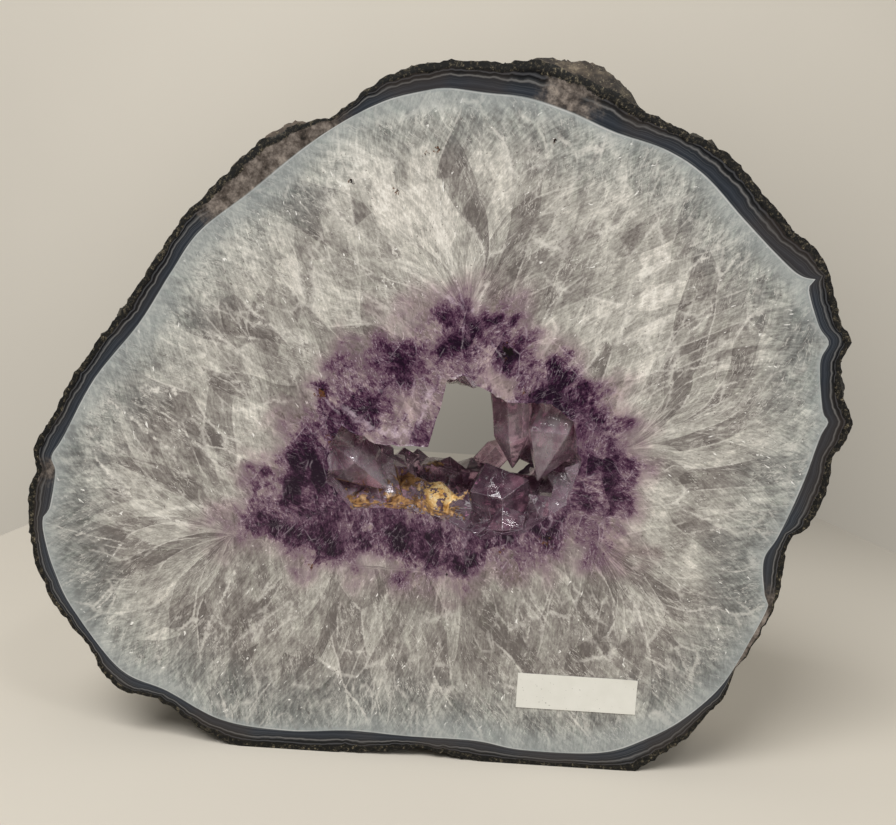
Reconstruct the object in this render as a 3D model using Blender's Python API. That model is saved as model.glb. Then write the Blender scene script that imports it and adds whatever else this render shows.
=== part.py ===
"""Amethyst geode slice standing on its edge: a sawn slab of banded agate and quartz with a
crystal-lined hollow right through it, and a small blank paper label on the front face.

Metres, +Z up. The polished front faces -Y, and the origin is at the middle of the base.
"""

import math
import random

import bmesh
import bpy
import numpy as np
from mathutils import Matrix, Vector, noise

MM = 0.001
THICKNESS = 36.0 * MM
FRONT = -THICKNESS / 2
GAP = 0.3 * MM

# The sawn front's outer edge in millimetres, x then z, clockwise from the top as seen from the front.
RIM = (
    (-6.5, 156), (2, 156.5), (9, 157), (14.5, 158.5), (24.5, 157), (32, 153.5), (36.5, 149), (46, 144.5),
    (56, 140), (62.5, 134), (71.5, 125), (79, 118.5), (84, 105.5), (86.5, 101), (85, 95), (88.5, 82),
    (85, 75), (84.5, 68.5), (81.5, 60), (76.5, 54.5), (76, 43.5), (71, 31), (67.5, 25), (65.5, 17.5),
    (58, 9), (50.5, 3), (45, -0.5), (35.5, -1.5), (21.5, -1.5), (7.5, 0.5), (-1.5, 2), (-13, 1),
    (-28.5, -0.5), (-41.5, -0.5), (-52.5, 3), (-64, 10), (-73, 12), (-81, 22.5), (-89, 31.5),
    (-93.5, 42), (-94.5, 54.5), (-93, 60.5), (-93.5, 66), (-89.5, 73.5), (-84.5, 84), (-75, 98),
    (-66.5, 112.5), (-61.5, 120), (-51, 131.5), (-42, 140), (-31.5, 142.5), (-21, 151), (-12, 155),
)
RIM_STEPS = 168
RIM_CENTRE = (-3.0, 78.0)

# Where the rind stands behind the saw cut, as broken lumps: angle in degrees from +x about the
# rim's centre, half-width in degrees, how far the sawn edge draws back, how far the lump stands out.
LUMPS = (
    (70.0, 13.0, 3.2, 0.6),
    (122.0, 6.0, 1.2, 0.8),
    (-43.0, 7.0, 0.8, 0.2),
    (8.0, 5.0, 0.6, 0.5),
    (205.0, 8.0, 0.5, 0.6),
)
# The rind's rows of points, as shares of the thickness, and its relief in millimetres: how far it
# bulges, then the height and the frequency per millimetre of its lumps, its ledges and its grain.
RIND_ROWS = (0.0, 0.05, 0.14, 0.25, 0.36, 0.47, 0.58, 0.69, 0.8, 0.91, 1.0)
EDGE_ROW = 0.05
FULL_RELIEF = 0.15
RIND_BULGE = 1.1
RIND_LUMPS = (1.6, 0.055)
RIND_LEDGES = (1.4, 0.12)
RIND_GRAIN = (1.0, 0.27)

# The corners of the hollow's wall in millimetres, x then z, clockwise from the top: on the front face,
# and on the back. The wall is broken once more between each two corners.
HOLLOW_FRONT = (
    (-3.5, 88), (1.5, 90.5), (7, 87), (12, 84.5), (22, 85), (28.5, 80.5), (31, 70), (28, 59.5),
    (18.5, 52), (7.5, 49.5), (-1, 53.5), (-10, 55.5), (-22, 54.5), (-29.5, 62), (-29.5, 70.5),
    (-26, 78), (-17, 73.5), (-7, 73.5),
)
HOLLOW_BACK = (
    (-6, 90), (1, 92.5), (8, 92), (14.5, 90.5), (21, 87), (25.5, 80.5), (27, 72), (25.5, 65),
    (18.5, 60.5), (9, 58.5), (-1.5, 59.5), (-11.5, 60.5), (-20.5, 61), (-26, 66), (-27, 73.5),
    (-24, 80), (-17, 83.5), (-10.5, 84.5),
)
HOLLOW_ROWS = 5
HOLLOW_JAGS = (0.7, 0.3)
# Blender's vector noise starts from the clock, so the jags are seeded.
NOISE_SEED = 1796051795
noise.seed_set(NOISE_SEED)
CRUST_WALL = 1.3
TRIMMED_OFF = 1.5 * MM

# What stays open right through the hollow, in millimetres: x from and to, z from and to.
WINDOW = (-4.5, 12.0, 69.5, 84.5)

# The large crystals: tip x, y, z, then the root's x, y, z and the radius, in millimetres, and how
# high the point is, in radii. Sharp ones hang in from the sides, blunt ones make the hollow's floor.
LARGE_CRYSTALS = (
    (15.6, -6.0, 66.4, 13.0, -6.5, 89.0, 5.2, 1.5),
    (19.4, -10.8, 64.6, 27.5, -6.5, 86.0, 7.4, 1.5),
    (10.4, 3.5, 77.0, 19.0, 4.0, 94.0, 5.2, 1.1),
    (11.6, -3.0, 80.4, 16.5, -4.0, 93.0, 4.6, 1.1),
    (14.2, 9.0, 71.5, 28.0, 9.5, 82.0, 6.4, 1.1),
    (17.8, 12.5, 66.5, 32.0, 12.0, 73.5, 6.8, 1.1),
    (22.6, -9.5, 66.6, 36.0, -4.0, 57.0, 6.0, 1.3),
    (18.2, -12.8, 61.4, 28.0, -8.0, 50.0, 5.0, 1.2),
    (15.8, 5.5, 64.4, 22.0, 6.0, 51.0, 6.2, 0.8),
    (9.8, -3.0, 67.4, 15.0, -0.5, 46.0, 8.4, 0.75),
    (12.8, -13.6, 58.4, 16.5, -8.5, 45.0, 4.8, 0.8),
    (4.9, 11.0, 66.3, 7.5, 13.0, 52.0, 5.6, 0.45),
    (0.2, 7.5, 66.6, -2.0, 9.0, 52.0, 6.0, 0.5),
    (-4.2, 10.5, 66.0, -3.2, 10.0, 52.0, 5.4, 0.3),
    (-8.8, 12.5, 67.8, -8.6, 11.0, 53.0, 3.6, 0.9),
    (-12.6, 9.0, 68.2, -11.2, 10.0, 53.0, 4.0, 0.8),
    (-18.4, 4.0, 70.9, -16.6, 6.5, 55.0, 3.8, 0.7),
    (-15.9, 0.0, 67.2, -14.6, 2.0, 51.0, 5.6, 0.4),
    (-10.1, -3.0, 63.4, -7.0, -5.0, 49.0, 5.2, 0.6),
    (-2.0, -6.0, 62.2, -5.0, -7.5, 47.0, 5.0, 0.6),
    (4.2, -8.0, 61.0, 1.0, -9.5, 45.0, 5.0, 0.85),
    (14.9, 11.5, 72.4, 2.6, 12.5, 57.0, 3.5, 1.3),
    (-13.6, -11.0, 60.4, -32.0, -6.5, 73.0, 7.0, 1.5),
    (-19.8, -6.0, 69.8, -13.4, -4.5, 50.0, 5.6, 0.9),
    (-23.5, 3.0, 66.5, -36.0, 4.0, 60.0, 6.4, 1.0),
    (-22.4, -14.0, 70.2, -33.0, -10.0, 78.0, 4.2, 1.2),
    (-21.0, -12.5, 58.6, -30.0, -9.0, 50.0, 4.8, 1.2),
    (-12.0, -12.5, 59.2, -8.0, -13.5, 45.0, 5.0, 0.65),
    (-5.6, -13.0, 58.8, -8.5, -12.5, 44.0, 4.8, 0.7),
    (0.6, -13.5, 56.6, 3.5, -12.5, 43.0, 4.6, 0.8),
    (3.6, 8.0, 84.6, 3.7, 8.5, 97.0, 3.3, 0.2),
    (-1.2, 10.0, 84.9, -2.0, 10.5, 99.0, 5.6, 0.2),
    (7.4, 12.5, 86.4, 9.5, 14.0, 98.0, 4.6, 0.5),
    (4.8, -9.0, 86.2, 5.0, -8.0, 94.0, 2.8, 0.8),
    (-4.7, 2.0, 72.6, -16.0, 4.5, 84.0, 6.4, 1.0),
    (-5.2, 11.5, 76.5, -16.0, 12.5, 92.0, 5.6, 1.0),
    (-11.8, 8.0, 70.4, -21.0, 10.5, 82.0, 6.2, 1.0),
    (-18.2, 12.0, 70.4, -32.0, 12.5, 75.5, 5.6, 1.0),
)
SMALL_CRYSTALS = 110
CRYSTAL_SEED = 12
GOLDEN_STEP = 0.618034
SMALL_RADIUS = (1.9, 4.3)
SMALL_HEIGHT = (2.4, 6.0)
SMALL_LEAN = 0.45

# A crystal's own shape, in shares of its radius: the height of a small one's point, how far the
# shoulders of its three wide and three narrow faces sit below and above that, and its tip's lean.
POINT_HEIGHT = 1.12
WIDE_SHOULDER = -0.12
NARROW_SHOULDER = 0.16
TIP_LEAN = 0.16

LABEL_SIZE = (27.4, 8.1, 0.3)
LABEL_CENTRE = (31.9, 17.4)
LABEL_CORNER = 0.4


def clear_scene():
    for thing in list(bpy.data.objects):
        bpy.data.objects.remove(thing, do_unlink=True)


def stone_material(name, colour, roughness, transmission=0.0):
    material = bpy.data.materials.new(name)
    material.use_nodes = True
    shader = material.node_tree.nodes["Principled BSDF"]
    shader.inputs["Base Color"].default_value = (*colour, 1.0)
    shader.inputs["Roughness"].default_value = roughness
    shader.inputs["Transmission Weight"].default_value = transmission
    material.diffuse_color = (*colour, 1.0)
    return material


def new_object(name, bm, material):
    mesh = bpy.data.meshes.new(name)
    bm.to_mesh(mesh)
    bm.free()
    mesh.materials.append(material)
    thing = bpy.data.objects.new(name, mesh)
    bpy.context.scene.collection.objects.link(thing)
    return thing


def smooth_loop(points, count):
    """A closed curve through the points, read at count places an equal length apart."""
    p = np.array(points, float)
    before, after, beyond = np.roll(p, 1, 0), np.roll(p, -1, 0), np.roll(p, -2, 0)
    fine = []
    for t in np.linspace(0, 1, 16, endpoint=False):
        fine.append(0.5 * (2 * p + (after - before) * t
                           + (2 * before - 5 * p + 4 * after - beyond) * t ** 2
                           + (3 * p - before - 3 * after + beyond) * t ** 3))
    curve = np.stack(fine, 1).reshape(-1, 2)
    curve = np.vstack((curve, curve[:1]))
    along = np.concatenate(((0.0,), np.cumsum(np.hypot(*np.diff(curve, axis=0).T))))
    places = np.linspace(0, along[-1], count, endpoint=False)
    return np.stack((np.interp(places, along, curve[:, 0]), np.interp(places, along, curve[:, 1])), 1)


def outward(loop):
    """Unit normals of a clockwise loop, pointing away from what it encloses."""
    tangent = np.roll(loop, -1, 0) - np.roll(loop, 1, 0)
    normal = np.stack((-tangent[:, 1], tangent[:, 0]), 1)
    return normal / np.linalg.norm(normal, axis=1)[:, None]


def bump(angle, centre, half_width):
    away = abs((angle - centre + 180) % 360 - 180) / half_width
    return math.cos(away * math.pi / 2) ** 2 if away < 1 else 0.0


def rind_offset(x, z, v, angle):
    """How far the rind stands outside the traced edge, in millimetres, at depth v from 0 to 1."""
    place = Vector((x, v * THICKNESS / MM, z))
    bulge = RIND_BULGE * math.sin(math.pi * min(v * 1.3, 1.0))
    lumpy = RIND_LUMPS[0] * noise.fractal(place * RIND_LUMPS[1], 1.0, 2.0, 3)
    ledge = RIND_LEDGES[0] * (0.35 - abs(noise.noise(place * RIND_LEDGES[1] + Vector((2, 9, 4)))) * 2)
    grain = RIND_GRAIN[0] * noise.fractal(place * RIND_GRAIN[1] + Vector((7, 3, 5)), 0.7, 2.1, 3)
    behind_cut = min(v / FULL_RELIEF, 1.0)
    offset = (bulge + lumpy + ledge) * behind_cut + grain * (0.3 + 0.7 * behind_cut)
    for centre, half_width, drawn_back, stands_out in LUMPS:
        near = bump(angle, centre, half_width)
        offset += near * (stands_out * behind_cut - drawn_back * (1 - min(v / EDGE_ROW, 1.0)))
    return offset


def rim_rows():
    loop = smooth_loop(RIM, RIM_STEPS)
    normal = outward(loop)
    rows = []
    for v in RIND_ROWS:
        row = []
        for (x, z), (nx, nz) in zip(loop, normal):
            angle = math.degrees(math.atan2(z - RIM_CENTRE[1], x - RIM_CENTRE[0]))
            off = rind_offset(x, z, v, angle)
            row.append(Vector(((x + nx * off) * MM, FRONT + v * THICKNESS, (z + nz * off) * MM)))
        rows.append(row)
    return rows


def hollow_row(v, inset):
    """The hollow's wall at depth v from 0, front, to 1, back, moved in by inset millimetres."""
    corners = (1 - v) * np.array(HOLLOW_FRONT, float) + v * np.array(HOLLOW_BACK, float)
    halfway = (corners + np.roll(corners, -1, 0)) / 2
    for spot in halfway:
        jag = noise.noise_vector(Vector((spot[0], v * 9, spot[1])) * HOLLOW_JAGS[1]) * HOLLOW_JAGS[0]
        spot += (jag.x, jag.z)
    loop = np.stack((corners, halfway), 1).reshape(-1, 2)
    ahead = np.roll(loop, -1, 0) - loop
    ahead /= np.linalg.norm(ahead, axis=1)[:, None]
    behind = np.roll(ahead, 1, 0)
    side_a = np.stack((-behind[:, 1], behind[:, 0]), 1)
    side_b = np.stack((-ahead[:, 1], ahead[:, 0]), 1)
    mitre = side_a + side_b
    mitre /= (mitre * side_b).sum(1)[:, None]
    return loop - mitre * inset


def hollow_rows(inset, overrun=0.0):
    rows = []
    for j in range(HOLLOW_ROWS):
        v = j / (HOLLOW_ROWS - 1)
        y = FRONT - overrun + v * (THICKNESS + 2 * overrun)
        rows.append([Vector((x * MM, y, z * MM)) for x, z in hollow_row(v, inset)])
    return rows


def add_wall(bm, rows):
    """Joins rows of points, front to back, into a wall whose faces point away from the loop."""
    made = [[bm.verts.new(point) for point in row] for row in rows]
    count = len(made[0])
    for near, far in zip(made, made[1:]):
        for i in range(count):
            k = (i + 1) % count
            bm.faces.new((near[i], far[i], far[k]))
            bm.faces.new((near[i], far[k], near[k]))
    return made


def add_sheet(bm, *loops):
    """Fills flat between closed loops of points."""
    edges = []
    for loop in loops:
        for i, vert in enumerate(loop):
            following = loop[(i + 1) % len(loop)]
            edges.append(bm.edges.get((vert, following)) or bm.edges.new((vert, following)))
    bmesh.ops.triangle_fill(bm, use_beauty=True, edges=edges)


def saw_base_flat(bm):
    geometry = bm.verts[:] + bm.edges[:] + bm.faces[:]
    cut = bmesh.ops.bisect_plane(bm, geom=geometry, dist=0.0001 * MM, plane_co=(0, 0, 0),
                                 plane_no=(0, 0, -1), clear_outer=True)
    edges = [item for item in cut["geom_cut"] if isinstance(item, bmesh.types.BMEdge)]
    bmesh.ops.holes_fill(bm, edges=edges, sides=0)


def make_slab():
    bm = bmesh.new()
    rim = add_wall(bm, rim_rows())
    hollow = add_wall(bm, hollow_rows(0.0))
    add_sheet(bm, rim[0], hollow[0])
    add_sheet(bm, rim[-1], hollow[-1])
    saw_base_flat(bm)
    bmesh.ops.recalc_face_normals(bm, faces=bm.faces[:])
    return new_object("geode_slab", bm, stone_material("polished_geode", (0.36, 0.37, 0.38), 0.25))


def make_hollow_shape(material):
    """A solid of the hollow's shape, a hair smaller, which the crust is trimmed to."""
    bm = bmesh.new()
    rows = add_wall(bm, hollow_rows(GAP / MM))
    bm.faces.new(rows[0])
    bm.faces.new(reversed(rows[-1]))
    bmesh.ops.recalc_face_normals(bm, faces=bm.faces[:])
    return hide(new_object("hollow_shape", bm, material))


def hide(helper):
    helper.hide_render = True
    helper.display_type = "WIRE"
    return helper


def quartz_point(bm, tip, root, radius, point_height, draw):
    """One six-sided quartz crystal: prism sides, and a point of three wide and three narrow faces."""
    axis = tip - root
    length = axis.length
    spin = Matrix.Rotation(draw.uniform(0, math.radians(60)), 4, "Z")
    place = Matrix.Translation(root) @ axis.to_track_quat("Z", "X").to_matrix().to_4x4() @ spin
    lean = Vector((draw.uniform(-TIP_LEAN, TIP_LEAN), draw.uniform(-TIP_LEAN, TIP_LEAN), 0)) * radius
    shoulder = length - radius * point_height
    base, crown = [], []
    for i in range(6):
        angle = math.radians(60 * i + draw.uniform(-5, 5))
        reach = radius * draw.uniform(0.88, 1.08)
        corner = Vector((reach * math.cos(angle), reach * math.sin(angle), 0))
        base.append(bm.verts.new(place @ corner))
        rise = shoulder + radius * (NARROW_SHOULDER if i % 2 else WIDE_SHOULDER) * draw.uniform(0.6, 1.2)
        crown.append(bm.verts.new(place @ (corner + Vector((0, 0, rise)))))
    point = bm.verts.new(place @ (Vector((0, 0, length)) + lean))
    for i in range(6):
        k = (i + 1) % 6
        bm.faces.new((base[i], base[k], crown[k], crown[i]))
        bm.faces.new((crown[i], crown[k], point))
    bm.faces.new(reversed(base))


def wall_place(u, v):
    """A point on the hollow's wall, u along the loop in corners and v its depth, and its inward normal."""
    row = hollow_row(v, 0.0)
    i = int(u) % len(row)
    a, b = row[i], row[(i + 1) % len(row)]
    spot = a + (b - a) * (u - int(u))
    run = (b - a) / np.linalg.norm(b - a)
    return Vector((spot[0], v * THICKNESS / MM + FRONT / MM, spot[1])), Vector((run[1], 0, -run[0]))


def in_window(point):
    x0, x1, z0, z1 = WINDOW
    return x0 < point.x < x1 and z0 < point.z < z1


def crystal_list(draw):
    found = [(Vector(c[:3]), Vector(c[3:6]), c[6], c[7]) for c in LARGE_CRYSTALS]
    corners = 2 * len(HOLLOW_FRONT)
    for n in range(SMALL_CRYSTALS):
        u = (n * GOLDEN_STEP * corners + draw.uniform(-0.2, 0.2)) % corners
        spot, inward = wall_place(u, draw.uniform(0.04, 0.96))
        radius = draw.uniform(*SMALL_RADIUS)
        height = draw.uniform(*SMALL_HEIGHT)
        lean = Vector([draw.uniform(-SMALL_LEAN, SMALL_LEAN) for _ in range(3)])
        heading = (inward + lean).normalized()
        tip = spot + heading * height
        if not in_window(tip):
            found.append((tip, spot - heading * radius * 1.5, radius, POINT_HEIGHT))
    return found


def make_crust():
    """Crystals grown together on a thin wall, made too large and then trimmed flush with the slab."""
    draw = random.Random(CRYSTAL_SEED)
    amethyst = stone_material("amethyst", (0.27, 0.17, 0.34), 0.06, 0.9)
    helpers = bpy.data.collections.new("crystals")
    bpy.context.scene.collection.children.link(helpers)
    for tip, root, radius, point_height in crystal_list(draw):
        bm = bmesh.new()
        quartz_point(bm, tip * MM, root * MM, radius * MM, point_height, draw)
        bmesh.ops.recalc_face_normals(bm, faces=bm.faces[:])
        crystal = hide(new_object("crystal", bm, amethyst))
        bpy.context.scene.collection.objects.unlink(crystal)
        helpers.objects.link(crystal)

    bm = bmesh.new()
    outer = add_wall(bm, hollow_rows(-CRUST_WALL, TRIMMED_OFF))
    inner = add_wall(bm, hollow_rows(CRUST_WALL, TRIMMED_OFF))
    add_sheet(bm, outer[0], inner[0])
    add_sheet(bm, outer[-1], inner[-1])
    bmesh.ops.recalc_face_normals(bm, faces=bm.faces[:])
    crust = new_object("crystal_crust", bm, amethyst)

    grow = crust.modifiers.new("grow", "BOOLEAN")
    grow.operation = "UNION"
    grow.operand_type = "COLLECTION"
    grow.collection = helpers
    grow.solver = "EXACT"
    trim = crust.modifiers.new("trim", "BOOLEAN")
    trim.operation = "INTERSECT"
    trim.object = make_hollow_shape(amethyst)
    trim.solver = "EXACT"


def make_label():
    """A paper sticker with slightly rounded corners, a hair in front of the stone."""
    width, height, paper = (size * MM for size in LABEL_SIZE)
    bm = bmesh.new()
    bmesh.ops.create_cube(bm, size=1.0, matrix=Matrix.Diagonal((width, paper, height, 1.0)))
    upright = [e for e in bm.edges if abs(e.verts[0].co.y - e.verts[1].co.y) > paper / 2]
    bmesh.ops.bevel(bm, geom=upright, offset=LABEL_CORNER * MM, segments=2, profile=0.5, affect="EDGES")
    label = new_object("paper_label", bm, stone_material("white_paper", (0.82, 0.81, 0.79), 0.6))
    label.location = (LABEL_CENTRE[0] * MM, FRONT - GAP - paper / 2, LABEL_CENTRE[1] * MM)
    return label


def stand_on_origin(slab, label):
    """Moves everything, cutters too, so that the middle of the base is the origin."""
    corners = [thing.matrix_world @ vert.co for thing in (slab, label) for vert in thing.data.vertices]
    middle = [(min(p[i] for p in corners) + max(p[i] for p in corners)) / 2 for i in range(2)]
    for thing in bpy.data.objects:
        thing.location -= Vector((middle[0], middle[1], 0))


def main():
    clear_scene()
    slab = make_slab()
    make_crust()
    label = make_label()
    bpy.context.view_layer.update()
    stand_on_origin(slab, label)


main()
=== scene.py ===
import math

import bmesh
import bpy
import numpy as np
from mathutils import Matrix, Vector, geometry, noise


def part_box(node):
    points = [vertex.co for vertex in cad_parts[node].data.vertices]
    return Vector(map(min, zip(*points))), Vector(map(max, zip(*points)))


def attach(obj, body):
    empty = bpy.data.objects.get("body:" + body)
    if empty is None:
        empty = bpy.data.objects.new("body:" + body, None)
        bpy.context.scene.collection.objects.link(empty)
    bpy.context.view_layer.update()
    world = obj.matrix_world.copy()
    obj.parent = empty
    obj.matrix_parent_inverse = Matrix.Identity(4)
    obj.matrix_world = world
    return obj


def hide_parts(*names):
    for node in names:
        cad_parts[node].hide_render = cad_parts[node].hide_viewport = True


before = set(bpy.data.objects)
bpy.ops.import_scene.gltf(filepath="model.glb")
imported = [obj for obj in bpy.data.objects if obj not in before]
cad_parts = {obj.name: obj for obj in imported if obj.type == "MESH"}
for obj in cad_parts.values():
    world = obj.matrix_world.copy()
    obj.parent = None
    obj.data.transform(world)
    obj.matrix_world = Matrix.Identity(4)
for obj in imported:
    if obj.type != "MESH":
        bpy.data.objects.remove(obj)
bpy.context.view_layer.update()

# The looks of an amethyst geode slice that stands on its edge: a sawn slab of banded agate and milky
# quartz, amethyst crystals round the hollow in its middle, and a small blank paper label. Sizes are
# in millimetres and turned into metres where a mesh is made. +Z is up, and the front faces -Y.


# The slice of stone
# One natural piece: a rough dark rind, dark banded agate, a thin white line, pale chalcedony, milky
# quartz and the amethyst round the hollow. Sawn flat and polished at front and back, rough all round,
# and ground flat where it stands.

MM = 0.001
slab_low, slab_high = (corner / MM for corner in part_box("geode_slab"))
label_low, label_high = (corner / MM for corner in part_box("paper_label"))
FRONT, BACK = slab_low.y, slab_high.y
THICKNESS = BACK - FRONT

# The sawn edge, x then z, clockwise from the top as seen from the front, before the rind's relief.
RIM = (
    (-6.5, 156), (2, 156.5), (9, 157), (14.5, 158.5), (24.5, 157), (32, 153.5), (36.5, 149), (46, 144.5),
    (56, 140), (62.5, 134), (71.5, 125), (79, 118.5), (84, 105.5), (86.5, 101), (85, 95), (88.5, 82),
    (85, 75), (84.5, 68.5), (81.5, 60), (76.5, 54.5), (76, 43.5), (71, 31), (67.5, 25), (65.5, 17.5),
    (58, 9), (50.5, 3), (45, -0.5), (35.5, -1.5), (21.5, -1.5), (7.5, 0.5), (-1.5, 2), (-13, 1),
    (-28.5, -0.5), (-41.5, -0.5), (-52.5, 3), (-64, 10), (-73, 12), (-81, 22.5), (-89, 31.5),
    (-93.5, 42), (-94.5, 54.5), (-93, 60.5), (-93.5, 66), (-89.5, 73.5), (-84.5, 84), (-75, 98),
    (-66.5, 112.5), (-61.5, 120), (-51, 131.5), (-42, 140), (-31.5, 142.5), (-21, 151), (-12, 155),
)
# In this table the label's middle is at this x, which ties it to the solids.
LABEL_X_IN_RIM_TERMS = 31.9
RIM_SHIFT = (label_low.x + label_high.x) / 2 - LABEL_X_IN_RIM_TERMS
RIM_CENTRE = (-3.0, 78.0)
RIM_STEPS = 640

# Where the rind stands behind the saw cut, as broken lumps: angle in degrees from +x about the
# rim's centre, half-width in degrees, how far the sawn edge draws back, how far the lump stands out.
LUMPS = (
    (70.0, 13.0, 3.2, 0.6), (122.0, 6.0, 1.2, 0.8), (-43.0, 7.0, 0.8, 0.2), (8.0, 5.0, 0.6, 0.5),
    (205.0, 8.0, 0.5, 0.6),
)
# The shares of the depth over which the lumps and the whole relief set in, how far the rind bulges,
# and the height and fineness of its lumps, ledges and two sizes of grain.
EDGE_ROW, FULL_RELIEF, RIND_BULGE = 0.05, 0.15, 1.1
RIND_LUMPS, RIND_LEDGES, RIND_GRAIN = (1.6, 0.055), (1.4, 0.12), (1.0, 0.27)
FINE_GRAIN = (0.85, 0.8)
RIND_ROWS = 38
RIM_BAND_ROWS = 9

# The white line between the agate and the quartz, x then z, clockwise from the top.
WHITE_LINE = (
    (-3.5, 150), (4.5, 149.5), (13.5, 149), (23.5, 146.5), (33, 143), (44.5, 140), (53.5, 135),
    (63, 126), (73, 117), (77, 114.5), (80.5, 114), (78.5, 112), (81.5, 104), (84, 100.5), (82.5, 96),
    (84, 85.5), (85.5, 83), (84, 79.5), (81.5, 70), (77, 57), (74, 51), (75, 43), (76, 40.5), (73, 33),
    (67.5, 22), (59.5, 13.5), (51, 8), (40.5, 4), (23, 3.5), (12, 5), (-3, 5), (-17, 5.5), (-30.5, 4.5),
    (-46, 6), (-59, 12), (-70, 16.5), (-81, 29.5), (-85.5, 38), (-88, 45.5), (-88.5, 50), (-87, 52.5),
    (-86, 60.5), (-87, 64), (-84.5, 68.5), (-78, 82), (-68.5, 95), (-62, 106.5), (-56, 116),
    (-45.5, 125), (-34.5, 135), (-26, 141.5), (-17, 146.5), (-9, 149),
)

# The corners of the hollow's wall, x then z, clockwise from the top: on the front face and on the back.
HOLLOW_FRONT = (
    (-3.5, 88), (1.5, 90.5), (7, 87), (12, 84.5), (22, 85), (28.5, 80.5), (31, 70), (28, 59.5),
    (18.5, 52), (7.5, 49.5), (-1, 53.5), (-10, 55.5), (-22, 54.5), (-29.5, 62), (-29.5, 70.5),
    (-26, 78), (-17, 73.5), (-7, 73.5),
)
HOLLOW_BACK = (
    (-6, 90), (1, 92.5), (8, 92), (14.5, 90.5), (21, 87), (25.5, 80.5), (27, 72), (25.5, 65),
    (18.5, 60.5), (9, 58.5), (-1.5, 59.5), (-11.5, 60.5), (-20.5, 61), (-26, 66), (-27, 73.5),
    (-24, 80), (-17, 83.5), (-10.5, 84.5),
)
HOLLOW_JAGS = (0.7, 0.3)
# Blender's vector noise starts from the clock, so it is seeded as for the solids.
NOISE_SEED = 1796051795
noise.seed_set(NOISE_SEED)
BORE_DEPTHS = (0.02, 0.034, 0.037, 0.15, 0.3, 0.45, 0.6, 0.75, 0.9, 0.963, 0.966, 0.98)
BORE_SPACING = 1.1
# The slab's wall comes this close to the crystals, to close the seam that the solids keep, and at
# both faces a thin broken lip covers the crystals' sawn edge: how far in, its jags, and how deep.
BORE_TIGHTER = 0.2
LIP, LIP_JAGS, LIP_DEPTH = 1.7, (0.6, 0.6), 0.035

# Spacing of the points that carry the markings, on the front and on the back, and the shares of it
# by which they stray and stay clear of the borders.
FRONT_SPACING, BACK_SPACING = 0.85, 1.7
NET_JITTER, NET_CLEARANCE = 0.2, 0.4

# The quartz fibres fan out from this many-sided heart, x then z, clockwise. FAN is how wide they
# spread at its corners, and LEAN how far the slanted ones lean to each side.
HEART = np.array(((-46, 49), (4, 101), (41, 74), (36, 53), (5, 43), (-22, 44)), float)
FAN = 30.0
LEAN = 0.38

# The outer edge of the amethyst colour, x then z, clockwise, with the notch at its top.
AMETHYST_EDGE = (
    (4, 102), (6.5, 105), (10, 104.5), (14, 101), (20.5, 97), (25, 93), (32, 88), (39.5, 83.5), (44, 72),
    (43, 60), (42, 55), (44, 48), (38, 49), (32, 50), (23.5, 46), (17.5, 45), (11, 43), (6, 40), (0, 41),
    (-9.5, 43), (-23, 43.5), (-32, 44), (-38, 47), (-45, 47.5), (-48.5, 51.5), (-44.5, 56), (-39.5, 60),
    (-41, 63.5), (-37, 67.5), (-35, 73), (-31.5, 79), (-30, 82), (-26, 86), (-22.5, 91.5), (-18, 94.5),
    (-12.5, 98), (-8.5, 100.5), (-2, 104), (1, 103),
)
# Deeper and paler places in the amethyst: x, z, radius, and how much colour is added or taken.
AMETHYST_SPOTS = (
    (-31, 64, 6.0, 0.85), (-28.5, 83, 2.0, 1.1), (-15.5, 80.5, 3.1, 0.75), (-22, 81, 2.7, 0.4),
    (0, 96.5, 3.8, 0.7), (-9.5, 92.5, 4.8, 0.55), (8, 99.5, 2.6, 0.75), (15, 94, 2.7, 0.9),
    (22, 89.5, 3.6, 0.5), (26.5, 85, 4.4, 0.8), (30.5, 80, 4.0, 0.5), (-7.5, 48.5, 3.1, 0.9),
    (5.5, 46.5, 3.0, 0.95), (-1, 48.5, 3.1, 0.5), (-37.5, 51.5, 4.0, 0.55), (-23.5, 48, 4.9, 0.45),
    (-10.5, 48, 3.4, 0.5), (24.5, 53.5, 3.1, 0.8), (36.5, 60, 3.6, 0.75), (30.5, 66.5, 3.6, 0.6),
    (36, 71, 3.1, 0.45), (-44, 50, 2.7, 0.35), (14.5, 50.5, 3.1, 0.4), (36, 78, 3.1, 0.5),
    (-21.5, 72, 2.7, 0.45), (-25.5, 58, 3.1, 0.4), (-40, 58.5, 2.2, 0.4), (-6.5, 81, 3.4, -0.45),
    (12.5, 87.5, 3.6, -0.6), (-16, 60, 4.0, -0.3), (44, 51, 4.5, -0.3), (15, 55, 2.2, -0.3),
)
# Dark and rusty grains shut in the stone: x, z, radius and how thick they lie.
INCLUSIONS = (
    (13.5, 94, 2.6, 1.1), (18, 85.5, 3.0, 0.8), (-27.5, 82, 2.2, 1.0), (-29, 65, 3.5, 0.5),
    (25, 52, 4.0, 0.8), (15, 49, 2.2, 0.8), (-25, 72, 2.5, 0.7), (-5, 46, 5.0, 0.6),
    (-28, 43, 1.6, 0.9), (36.5, 58, 3.0, 0.5), (-34, 91, 5.0, 0.45), (-23.5, 129, 1.2, 1.2),
    (-5, 137, 1.2, 1.1), (-13.5, 127.5, 1.4, 1.0), (20.5, 140.5, 0.8, 1.2), (-7.5, 136, 1.0, 1.0),
    (3, 43, 2.0, 0.5), (-3, 40, 1.5, 0.5),
)
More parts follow.
